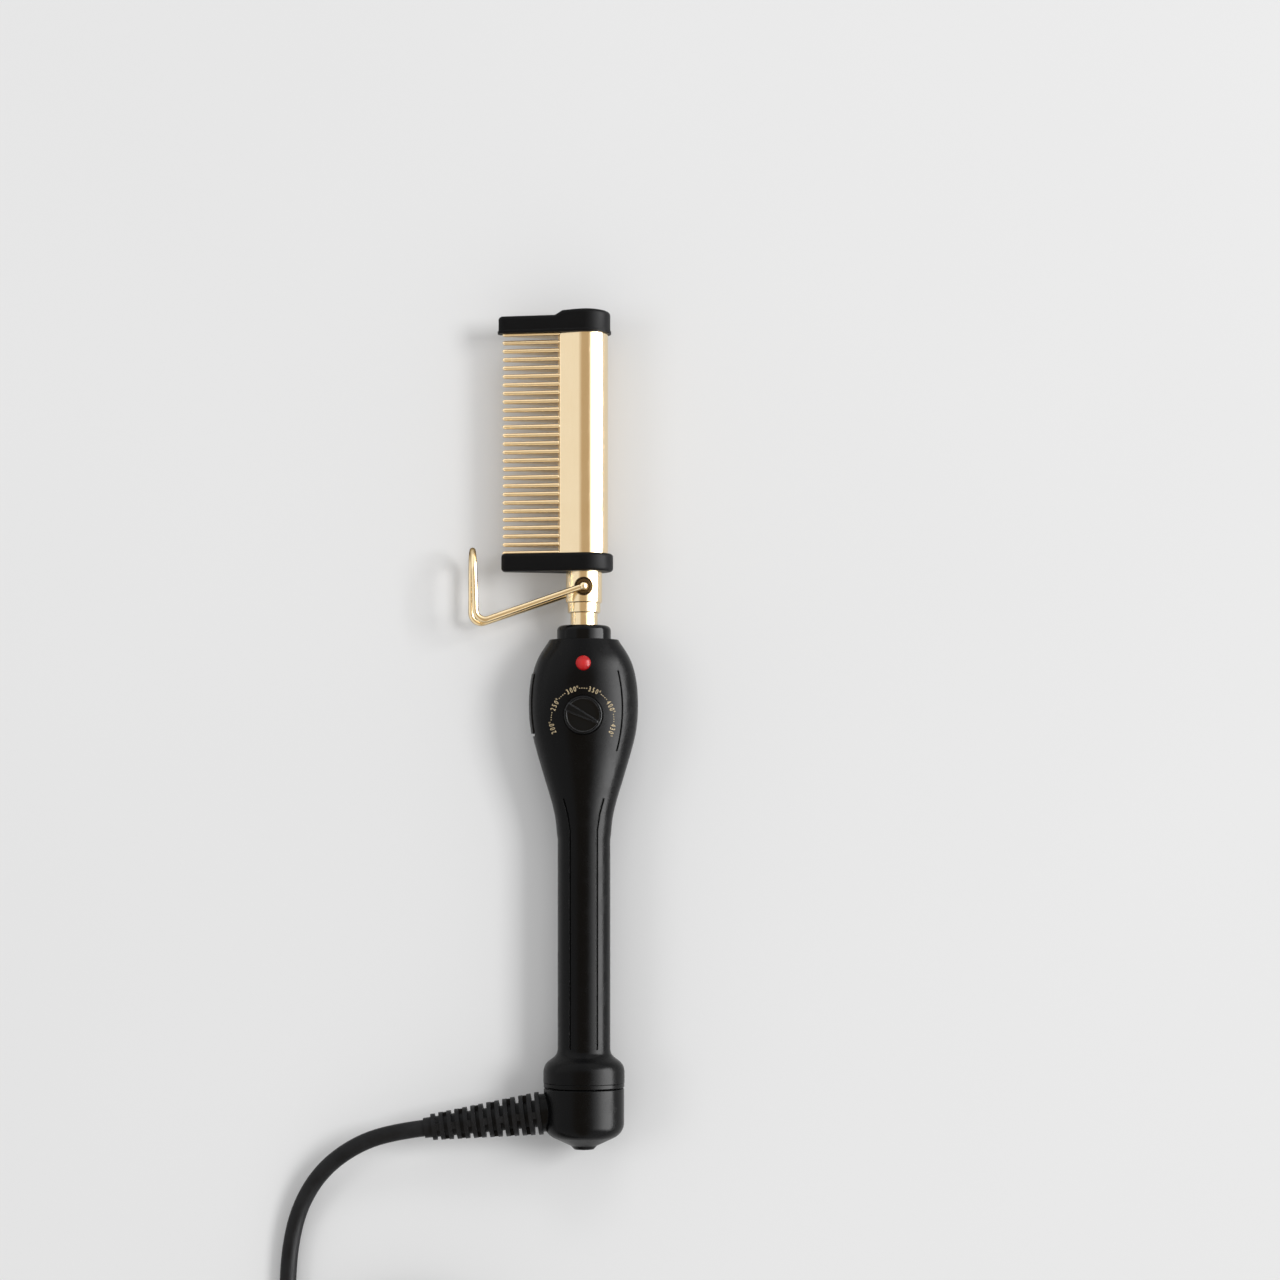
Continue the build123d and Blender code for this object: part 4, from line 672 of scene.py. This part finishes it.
class Palette:
    """Every finish of the comb."""

    GOLD = Plating("gold_plating", "gold_plate", (0.89, 0.70, 0.44), (0.94, 0.78, 0.53), 0.15)
    GOLD_TEETH = Plating(
        "gold_teeth", "gold_plate", (0.88, 0.68, 0.40), (0.95, 0.79, 0.53), 0.2,
        drawn=Axis.ACROSS,
    )
    GOLD_NECK = Plating("gold_neck", "gold_plate", (0.89, 0.70, 0.43), (0.94, 0.78, 0.52), 0.16)
    # The wire's dark rim tint paints dark reflections along its edges.
    WIRE = Plating(
        "gold_wire_polish", "gold_wire", (0.84, 0.64, 0.36), (0.93, 0.78, 0.52), 0.17,
        drawn=Axis.NONE, line_depth=0.0004, rim=(0.12, 0.08, 0.04),
    )
    # Near-black finish of the pivot's eyelets and rims: painted shade for gold dimples lying in
    # shade and mirroring dark surroundings.
    EYELET_SHADE = Plating(
        "eyelet_painted_shade", "dark_steel", (0.06, 0.04, 0.022), (0.2, 0.14, 0.075), 0.16,
        drawn=Axis.NONE,
    )
    HEAT_CAP = Moulding(
        "heat_cap_black", "heat_black", (0.0035, 0.0035, 0.0037), (0.0065, 0.0065, 0.0068), 0.46,
        grain=0.5, grain_depth=0.02, specular=0.07,
    )
    GLOSS = Moulding(
        "collar_gloss", "gloss_black", (0.003, 0.003, 0.0032), (0.0045, 0.0045, 0.0047), 0.1,
        grain=0.6, grain_depth=0.002, specular=0.12,
    )
    SATIN = Moulding(
        "handle_satin", "satin_black", (0.0016, 0.0016, 0.0017), (0.0028, 0.0028, 0.003), 0.28,
        grain=0.3, grain_depth=0.006, specular=0.1,
    )
    ROCKER = Moulding(
        "rocker_satin", "rocker_black", (0.0018, 0.0018, 0.0019), (0.003, 0.003, 0.0032), 0.27,
        grain=0.3, grain_depth=0.006, specular=0.1,
    )
    # The knob's edges are lightened strongly: mostly painted highlight along them, with some wear.
    KNOB = Moulding(
        "knob_satin", "knob_black", (0.0016, 0.0026, 0.0038), (0.0028, 0.004, 0.0052), 0.16,
        grain_depth=0.004, specular=0.2, edge=0.45, wear_and_highlight=0.55,
    )
    # The lens's lighter red is the colour of the painted glow at its core.
    LENS = RedLens("lamp_red", "red_lens", (0.42, 0.006, 0.008), (0.6, 0.035, 0.035), 0.14)
    PRINT = Foil("scale_foil", "gold_plate", (0.72, 0.58, 0.36), (0.42, 0.32, 0.17), 0.45)
    BOOT = Rubber("boot_rubber", "boot_black", (0.008, 0.008, 0.0084), (0.016, 0.016, 0.0168), 0.4)
    CORD = Rubber(
        "cord_jacket", "cord_black", (0.009, 0.009, 0.0094), (0.018, 0.018, 0.0188), 0.46,
        pore=0.8, depth=0.015,
    )
    STRAP = Weave("strap_weave", "tie_black", (0.012, 0.012, 0.012), (0.045, 0.045, 0.048), 0.8)
    PLUG = Moulding(
        "plug_moulding", "plug_black", (0.008, 0.008, 0.0083), (0.014, 0.014, 0.0145), 0.38,
        grain=0.45, grain_depth=0.015, specular=0.1,
    )
    BLADE = Plating(
        "blade_nickel_plate", "blade_nickel", (0.62, 0.58, 0.5), (0.8, 0.76, 0.68), 0.24,
        drawn=Axis.ACROSS,
    )
    ZINC = Plating(
        "zinc_plate", "zinc_steel", (0.5, 0.51, 0.54), (0.72, 0.72, 0.7), 0.3,
        drawn=Axis.NONE, line=0.3, line_depth=0.004,
    )
    BRASS = Plating(
        "contact_brass", "brass_contact", (0.72, 0.5, 0.2), (0.86, 0.66, 0.34), 0.22,
        drawn=Axis.NONE,
    )
    ALUMINIUM = Plating(
        "heater_extrusion", "heater_aluminium", (0.58, 0.58, 0.6), (0.78, 0.78, 0.8), 0.36,
    )
    CERAMIC = Moulding(
        "fired_ceramic", "heater_ceramic", (0.52, 0.47, 0.42), (0.68, 0.63, 0.58), 0.7,
        grain=0.4, grain_depth=0.03,
    )
    SENSOR = Glass("sensor_bead", "sensor_glass", (0.75, 0.42, 0.24), (0.3, 0.13, 0.06), 0.08)
    NEON = Glass("neon_bulb", "sensor_glass", (0.9, 0.6, 0.45), (0.7, 0.3, 0.16), 0.05)
    SILICONE = Rubber(
        "lead_sleeve", "lead_silicone", (0.6, 0.56, 0.5), (0.78, 0.75, 0.7), 0.55,
        pore=0.7, depth=0.01,
    )
    COMPONENT = Moulding(
        "component_black", "component_plastic", (0.03, 0.03, 0.034), (0.055, 0.055, 0.06), 0.5,
        grain=0.3, grain_depth=0.01,
    )
    BOARD = Board("control_board_mask", "board_green", (0.018, 0.12, 0.05), (0.05, 0.24, 0.11), 0.3)
    CAPACITOR = Moulding(
        "capacitor_dip", "capacitor_yellow", (0.62, 0.4, 0.03), (0.78, 0.56, 0.08), 0.3,
        grain=0.8, grain_depth=0.02, coat=0.4,
    )
    RESISTOR = Banded(
        "resistor_lacquer", "resistor_tan", (0.58, 0.42, 0.24), (0.66, 0.5, 0.3), 0.35,
    )


# ---------------------------------------------------------------- making pieces


def dress(finish: Finish, *names: str) -> None:
    """Gives CAD nodes a finish.

    Args:
        finish: The finish.
        names: The nodes.
    """
    for name in names:
        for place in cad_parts[name].material_slots:
            place.material = finish.material()
        LOG.info("%s: %s", name, finish.title)


def add_object(name: str, data: bpy.types.ID) -> bpy.types.Object:
    """Makes an object and puts it in the scene.

    Args:
        name: Its name.
        data: Its mesh, curve, light or camera.

    Returns:
        The object.
    """
    made = bpy.data.objects.new(name, data)
    bpy.context.scene.collection.objects.link(made)
    return made


def own_piece(name: str, data: bpy.types.ID, finish: Finish, body: Body) -> bpy.types.Object:
    """Makes a piece of the object and says what it is made of and what it rides on.

    Args:
        name: The piece's name.
        data: Its mesh or curve.
        finish: What it is made of.
        body: The body that it rides on.

    Returns:
        The piece.
    """
    data.materials.append(finish.material())
    piece = add_object(name, data)
    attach(piece, body.value)
    return piece


def new_piece(name: str, shape: bmesh.types.BMesh, finish: Finish, body: Body) -> None:
    """Makes a piece of the object from a finished shape.

    Args:
        name: The piece's name.
        shape: Its shape in metres, in the shared frame. It is freed.
        finish: What it is made of.
        body: The body that it rides on.
    """
    mesh = bpy.data.meshes.new(name)
    bmesh.ops.remove_doubles(shape, verts=shape.verts, dist=TOUCHING)
    bmesh.ops.recalc_face_normals(shape, faces=shape.faces)
    shape.to_mesh(mesh)
    shape.free()
    LOG.info("%s: new piece, %d faces", name, len(mesh.polygons))
    own_piece(name, mesh, finish, body)


# ---------------------------------------------------------------- studio


@dataclass
class Studio:
    """Camera, floor, lamps and surroundings. Nothing here belongs to the object.

    Sizes are in metres. The sensor and the floor's fade are in millimetres, and the picture is
    lowered by a share of the frame's width.
    """

    distance: float = 1.185
    frame_width: float = 0.457
    centre: tuple[float, float] = (0.0200, 0.0273)
    lowered: float = 0.148
    sensor: float = 36.0
    farthest: float = 20.0
    floor_reach: float = 3.0
    floor_fade: tuple[float, float] = (1000.0, 2600.0)

    FLOOR_TONES = ((0.8, 0.8, 0.8), (0.84, 0.84, 0.84))
    FLOOR_ROUGHNESS = 0.9
    MOTTLE_SIZE = 300.0
    WHITE = (1.0, 1.0, 1.0)
    CEILING_TINT = (1.0, 0.81, 0.58)
    EVEN_LEVEL = 0.58
    CEILING_LEVEL = 0.54
    LEFT_WALL = 0.4
    RIGHT_WALL = 0.6
    FAR_WALL = 0.4
    BRIGHT_WALL = 3.5
    STRIP_LAMP = 11.0
    CLEAR_OF_ZERO = 0.0001
    LAMPS = (
        ("lamp_right", (2.3, 0.5, 2.6), (1.4, 1.0), 50.0),
        ("lamp_left", (-2.4, 0.0, 2.4), (1.4, 1.0), 11.0),
        ("lamp_beyond", (0.2, 2.8, 2.2), (1.4, 0.8), 9.0),
    )

    def build(self) -> None:
        """Sets up the whole studio."""
        self.camera()
        self.floor()
        for name, place, size, watts in self.LAMPS:
            self.lamp(name, place, size, watts)
        self.surroundings()
        bpy.context.scene.view_settings.view_transform = "Standard"

    def camera(self) -> None:
        """A camera straight above the handle, its picture shifted towards the comb."""
        data = bpy.data.cameras.new("camera")
        data.sensor_width = self.sensor
        data.lens = self.sensor * self.distance / self.frame_width
        data.shift_y = self.lowered
        data.clip_end = self.farthest
        camera = add_object("camera", data)
        x, y = self.centre
        camera.location = (x, y - self.lowered * self.frame_width, AXIS_Z + self.distance)
        bpy.context.scene.camera = camera

    def floor(self) -> None:
        """A pale floor that keeps the shadow and thins out into the white far away."""
        shape = bmesh.new()
        bmesh.ops.create_grid(shape, x_segments=1, y_segments=1, size=self.floor_reach)
        mesh = bpy.data.meshes.new("floor")
        shape.to_mesh(mesh)
        shape.free()
        material = bpy.data.materials.new("floor")
        tree = empty_tree(material)
        place = tree.here()
        tone = tree.blend(tree.noise(place, self.MOTTLE_SIZE), *self.FLOOR_TONES)
        x, y, _ = tree.axes(place)
        near = 1 - ((x * x + y * y) ** 0.5).ease(*self.floor_fade)
        tree.finish(
            {
                "Base Color": tone,
                "Roughness": self.FLOOR_ROUGHNESS,
                "Specular IOR Level": 0.0,
                "Alpha": near,
            }
        )
        mesh.materials.append(material)
        add_object("floor", mesh)

    @staticmethod
    def lamp(name: str, place: Point, size: tuple[float, float], watts: float) -> None:
        """One softbox that faces the comb. Bright surfaces mirror the room and not the lamp.

        Args:
            name: Its name.
            place: Where it stands.
            size: Its length and height.
            watts: Its power.
        """
        data = bpy.data.lights.new(name, "AREA")
        data.shape = "RECTANGLE"
        data.size, data.size_y = size
        data.energy = watts
        lamp = add_object(name, data)
        lamp.location = place
        lamp.rotation_euler = (-Vector(place)).to_track_quat("-Z", "Y").to_euler()
        lamp.visible_glossy = False

    def lean(self, part: Shade, height: Shade) -> Shade:
        """How far a direction leans from upright towards one side.

        Args:
            part: The direction's part towards that side.
            height: Its upright part.

        Returns:
            The lean, from -1 to 1.
        """
        length = (part * part + height * height) ** 0.5
        return part / (length + self.CLEAR_OF_ZERO)

    def surroundings(self) -> None:
        """A white room: a warm dim ceiling, brighter walls and a strip lamp low on the right.

        What the pieces mirror is set apart from the even light that falls on them. The right
        wall's bright part and the strip are left out towards the room's ends and for light that
        has bounced off a dull surface.
        """
        world = bpy.data.worlds.new("room")
        tree = empty_tree(world)
        x, y, z = tree.axes(tree.node("ShaderNodeTexCoord").outputs["Generated"])
        side = self.lean(x, z)
        right = side.ease(0.26, 0.42)
        left = (side * -1.0).ease(0.38, 0.6)
        beyond = self.lean(y, z).ease(0.22, 0.5)
        wall = side.ease(0.36, 0.64)
        strip = side.ease(0.6, 0.94)
        ray = tree.node("ShaderNodeLightPath").outputs
        seen = Shade(tree, ray["Is Glossy Ray"]) + Shade(tree, ray["Is Transmission Ray"])
        camera = Shade(tree, ray["Is Camera Ray"])
        unbounced = 1 - (Shade(tree, ray["Diffuse Depth"]) > 0.5)
        direct = unbounced * (1 - y.size().ease(0.4, 0.62))
        walls = self.CEILING_LEVEL + left * self.LEFT_WALL + right * self.RIGHT_WALL
        walls = walls + beyond * self.FAR_WALL
        mirrored = walls + direct * (wall * self.BRIGHT_WALL + strip * self.STRIP_LAMP)
        level = self.EVEN_LEVEL * (1 - seen) + seen * mirrored
        ceiling = seen * (1 - left) * (1 - right) * (1 - beyond)
        inputs = {
            "Color": tree.blend(ceiling, self.WHITE, self.CEILING_TINT),
            "Strength": level * (1 - camera) + camera,
        }
        background = tree.node("ShaderNodeBackground", None, inputs)
        output = tree.node("ShaderNodeOutputWorld")
        tree.nodes.links.new(background.outputs[0], output.inputs["Surface"])
        bpy.context.scene.world = world


# ---------------------------------------------------------------- sub-assemblies


@dataclass
class MainsCord:
    """The lead from the strain relief to its coil and the plug."""

    diameter: float = 6.0
    length: float = 2400.0
    exit: Point = (-57.01, -146.937, 14.6)
    centre: tuple[float, float] = (-64.0, -254.0)
    middle_radius: float = 33.4
    middle_column: float = 1.5
    column_pitch: float = 6.05
    row_pitch: float = 6.1
    lowest: float = 3.75
    steps: int = 16
    tail_y: float = -297.15
    sides: int = 5
    smoothness: int = 6

    APPROACH = (
        (-69.508, -148.538, 14.6),
        (-82.6, -153.6, 12.4),
        (-94.2, -162.6, 8.6),
        (-102.2, -175.2, 5.4),
        (-106.1, -190.2, 4.0),
        (-107.15, -208.5, 3.75),
        (-107.15, -229.0, 3.75),
    )
    TURNS = (
        (0, 0), (1, 0), (2, 0), (3, 0),
        (3, 1), (3, 2), (2, 2), (2, 1),
        (1, 1), (1, 2), (0, 2), (0, 1),
    )
    CLIMB = (0.5, 0.75)
    DESCENT = (0.3, 0.52)
    SHIFT = (0.75, 1.0)
    TAIL = ((-54.0, 9.7), (-46.0, 9.0), (-39.0, 9.0))

    def build(self) -> None:
        """Makes the cord and dresses the pieces on it."""
        dress(Palette.BOOT, "strain_relief", "plug_boot")
        dress(Palette.STRAP, "coil_tie")
        dress(Palette.PLUG, "plug_body")
        dress(Palette.BLADE, "plug_blades")
        piece = self.curve([self.exit, *self.APPROACH, *self.coil(), *self.tail()])
        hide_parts("cord_lead", "cord_coil")

    def spot(self, turn: int, share: float) -> tuple[float, float]:
        """Where the cord runs in the band of turns. The last turn but one comes down early.

        Args:
            turn: Which turn it is in.
            share: How far it is round that turn, from 0 to 1.

        Returns:
            Its column, counted inwards, and its row, counted upwards.
        """
        column, row = self.TURNS[turn]
        if turn + 1 == len(self.TURNS):
            return column, row
        next_column, next_row = self.TURNS[turn + 1]
        climb = self.DESCENT if turn + 2 == len(self.TURNS) else self.CLIMB
        rise, shift = self.eased(share, *climb), self.eased(share, *self.SHIFT)
        return column + (next_column - column) * shift, row + (next_row - row) * rise

    @staticmethod
    def eased(share: float, start: float, end: float) -> float:
        """Goes smoothly from 0 to 1 over part of a turn.

        Args:
            share: How far the cord is round the turn.
            start: The share up to which the result is 0.
            end: The share from which it is 1.

        Returns:
            The eased value.
        """
        part = min(1.0, max(0.0, (share - start) / (end - start)))
        return part * part * (3 - 2 * part)

    def coil(self) -> list[Point]:
        """Winds the turns, with a quarter turn more to where the tail leaves.

        Returns:
            Their control points in millimetres.
        """
        points = []
        wider = 1 / math.cos(math.pi / self.steps)
        for step in range(self.steps * (len(self.TURNS) - 1) + self.steps // 4 + 1):
            column, row = self.spot(step // self.steps, step % self.steps / self.steps)
            angle = math.pi + math.tau * step / self.steps
            inwards = (column - self.middle_column) * self.column_pitch
            radius = (self.middle_radius - inwards) * wider
            x = self.centre[0] + radius * math.cos(angle)
            y = self.centre[1] + radius * math.sin(angle)
            points.append((x, y, self.lowest + row * self.row_pitch))
        return points

    def tail(self) -> list[Point]:
        """The control points from the coil to the plug."""
        return [(x, self.tail_y, z) for x, z in self.TAIL]

    def curve(self, points: list[Point]) -> bpy.types.Object:
        """Makes the cord as one smooth round curve.

        Args:
            points: Its control points in millimetres.

        Returns:
            The cord.
        """
        data = bpy.data.curves.new("mains_cord", "CURVE")
        data.dimensions = "3D"
        data.bevel_depth = self.diameter / 2 * MM
        data.bevel_resolution = self.sides
        data.resolution_u = self.smoothness
        data.render_resolution_u = self.smoothness
        data.use_fill_caps = True
        spline = data.splines.new("NURBS")
        spline.points.add(len(points) - 1)
        for point, (x, y, z) in zip(spline.points, points):
            point.co = (x * MM, y * MM, z * MM, 1.0)
        spline.order_u = 3
        spline.use_endpoint_u = True
        LOG.info("mains_cord: new piece, %d control points", len(points))
        return own_piece("mains_cord", data, Palette.CORD, Body.SWIVEL)


@dataclass
class CombHead:
    """Plated spine and teeth between two black end caps, with the heater inside."""

    def build(self) -> None:
        """Dresses the head's pieces."""
        dress(Palette.GOLD, "spine_shell")
        dress(Palette.GOLD_TEETH, "comb_blade")
        dress(Palette.HEAT_CAP, "top_cap", "base_plate")
        dress(Palette.ZINC, "tip_plug", "cap_screw", "electrode_foils")
        dress(Palette.ALUMINIUM, "heater_block_front", "heater_block_rear")
        dress(Palette.CERAMIC, "heater_plate")
        dress(Palette.SENSOR, "thermal_sensor")
        dress(Palette.SILICONE, "heater_leads")


@dataclass
class NeckAndStand:
    """Stepped gold neck with the folding wire stand."""

    pivot_y: float = 46.1
    neck_radius: float = 6.45
    rim_radius: float = 3.1
    rim_wall: float = 0.29
    rim_height: float = 0.75
    rim_sunk: float = 0.4
    rim_sides: int = 16
    rim_steps: int = 72

    def build(self) -> None:
        """Dresses the neck and the stand and rolls the rims of the pivot's eyelets."""
        dress(Palette.GOLD_NECK, "neck_tube", "neck_ferrule", "stem_tube")
        dress(Palette.WIRE, "stand_wire")
        # The eyelets and their rolled rims get the near-black painted-shade finish.
        dress(Palette.EYELET_SHADE, "stand_eyelet_front", "stand_eyelet_rear")
        dress(Palette.GLOSS, "collar")
        shape = bmesh.new()
        for side in (1, -1):
            self.rim(shape, side)
        new_piece("eyelet_rims", shape, Palette.EYELET_SHADE, Body.COMB)

    def rim(self, shape: bmesh.types.BMesh, side: int) -> None:
        """Spins one rolled rim round the stand's pivot.

        Args:
            shape: The shape that it joins.
            side: 1 for the front rim, -1 for the rear one.
        """
        height = AXIS_Z + side * (self.neck_radius - self.rim_sunk) * MM
        centre = Vector((0.0, self.pivot_y * MM, height))
        stand_up = Matrix.Rotation(math.pi / 2, 4, "X")
        oval = Matrix.Diagonal((1.0, 1.0, self.rim_height / self.rim_wall, 1.0))
        place = Matrix.Translation(centre + Vector((self.rim_radius * MM, 0.0, 0.0)))
        made = bmesh.ops.create_circle(
            shape,
            segments=self.rim_sides,
            radius=self.rim_wall * MM,
            matrix=place @ oval @ stand_up,
        )
        edges = [edge for vertex in made["verts"] for edge in vertex.link_edges]
        bmesh.ops.spin(
            shape,
            geom=list(dict.fromkeys(edges)),
            cent=centre,
            axis=(0.0, 0.0, 1.0),
            angle=math.tau,
            steps=self.rim_steps,
            use_merge=True,
        )


@dataclass
class DialScale:
    """Printed heat scale round the knob: numbers with degree marks and dots between them."""

    radius: float = 11.1
    drop: float = 1.6
    left: float = 0.3
    height: float = 1.8
    width: float = 0.7
    spacing: float = 1.34
    mark_place: float = 1.72
    thickness: float = 0.03
    lift: float = 0.015
    dots: int = 4
    dot_radius: float = 0.17
    dot_pitch: float = 0.85
    dots_turned: float = 1.5

    CAPITAL = 0.7
    CURVE_STEPS = 3
    DOT_SIDES = 10
    OVERHEAD = 0.1
    LABELS = (
        ("200", 196.7),
        ("250", 153.5),
        ("300", 111.0),
        ("350", 69.5),
        ("400", 26.5),
        ("430", -17.0),
    )

    def build(self) -> None:
        """Makes the print and lays it on the handle."""
        shape = bmesh.new()
        for text, angle in self.LABELS:
            for place, letter in enumerate(f"{text}\N{DEGREE SIGN}"):
                across = (place - 1.0 if letter.isdigit() else self.mark_place) * self.spacing
                self.letter(shape, letter, angle - math.degrees(across / self.radius))
        step = math.degrees(self.dot_pitch / self.radius)
        for (_, start), (_, end) in zip(self.LABELS, self.LABELS[1:]):
            middle = (start + end) / 2 - self.dots_turned
            for dot in range(self.dots):
                self.dot(shape, middle + ((self.dots - 1) / 2 - dot) * step)
        self.lay_down(shape)
        new_piece("heat_scale", shape, Palette.PRINT, Body.COMB)

    def place(self, angle: float, radius: float) -> Matrix:
        """The turn and shift of a mark whose top points away from the knob.

        Args:
            angle: Its direction from the knob, in degrees.
            radius: Its distance from the knob, in millimetres.

        Returns:
            The matrix.
        """
        turn = math.radians(angle)
        x, y = radius * math.cos(turn) - self.left, radius * math.sin(turn) - self.drop
        shift = Matrix.Translation((x * MM, y * MM, 0.0))
        return shift @ Matrix.Rotation(turn - math.pi / 2, 4, "Z")

    def letter(self, shape: bmesh.types.BMesh, letter: str, angle: float) -> None:
        """Adds one character.

        Args:
            shape: The shape that it joins.
            letter: The character.
            angle: Its direction from the knob, in degrees.
        """
        data = bpy.data.curves.new("letter", "FONT")
        data.body = letter
        data.size = self.height * MM / self.CAPITAL
        data.align_x = "CENTER"
        data.extrude = self.thickness * MM
        data.resolution_u = self.CURVE_STEPS
        text = bpy.data.objects.new("letter", data)
        mesh = bpy.data.meshes.new_from_object(text)
        narrow = Matrix.Diagonal((self.width, 1.0, 1.0, 1.0))
        mesh.transform(self.place(angle, self.radius - self.height / 2) @ narrow)
        shape.from_mesh(mesh)
        bpy.data.objects.remove(text)
        bpy.data.curves.remove(data)
        bpy.data.meshes.remove(mesh)

    def dot(self, shape: bmesh.types.BMesh, angle: float) -> None:
        """Adds one dot.

        Args:
            shape: The shape that it joins.
            angle: Its direction from the knob, in degrees.
        """
        bmesh.ops.create_cone(
            shape,
            cap_ends=True,
            segments=self.DOT_SIDES,
            radius1=self.dot_radius * MM,
            radius2=self.dot_radius * MM,
            depth=2 * self.thickness * MM,
            matrix=self.place(angle, self.radius),
        )

    def lay_down(self, shape: bmesh.types.BMesh) -> None:
        """Drops the flat print on the curved handle.

        Args:
            shape: The print, round the height 0.
        """
        graph = bpy.context.evaluated_depsgraph_get()
        shell = BVHTree.FromObject(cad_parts["handle_front_shell"], graph)
        for vertex in shape.verts:
            above = Vector((vertex.co.x, vertex.co.y, self.OVERHEAD))
            hit = shell.ray_cast(above, Vector((0.0, 0.0, -1.0)))[0]
            vertex.co.z += hit.z + self.lift * MM


@dataclass
class Handle:
    """Moulded handle with its dial, lamp and rocker, and the circuit inside."""

    def build(self) -> None:
        """Dresses the handle's pieces."""
        dress(Palette.SATIN, "handle_front_shell", "handle_rear_shell")
        dress(Palette.ZINC, "housing_screws", "dial_shaft")
        dress(Palette.KNOB, "dial_knob")
        dress(Palette.LENS, "lamp_lens")
        dress(Palette.NEON, "neon_lamp")
        dress(Palette.ROCKER, "power_rocker")
        dress(Palette.COMPONENT, "dial_pot", "switch_body", "triac")
        dress(Palette.BOARD, "control_board", "slip_ring_plate")
        dress(Palette.CAPACITOR, "capacitor")
        dress(Palette.RESISTOR, "board_resistors")
        dress(Palette.SILICONE, "grip_leads")
        dress(Palette.BRASS, "slip_rings")


@dataclass
class SwivelEnd:
    """Turning cap that the cord leaves by."""

    def build(self) -> None:
        """Dresses the swivel's pieces."""
        dress(Palette.SATIN, "swivel_ring", "swivel_cap")
        dress(Palette.COMPONENT, "swivel_spindle", "brush_carrier")
        dress(Palette.BRASS, "spindle_nut", "contact_brushes")
        dress(Palette.SILICONE, "swivel_leads")


def main() -> None:
    """Builds the studio and every sub-assembly, in order."""
    logging.basicConfig(level=logging.INFO, format="%(name)s %(message)s")
    for kind in (Studio, MainsCord, CombHead, NeckAndStand, Handle, DialScale, SwivelEnd):
        LOG.info("building %s", kind.__name__)
        kind().build()


if __name__ == "__main__":
    main()
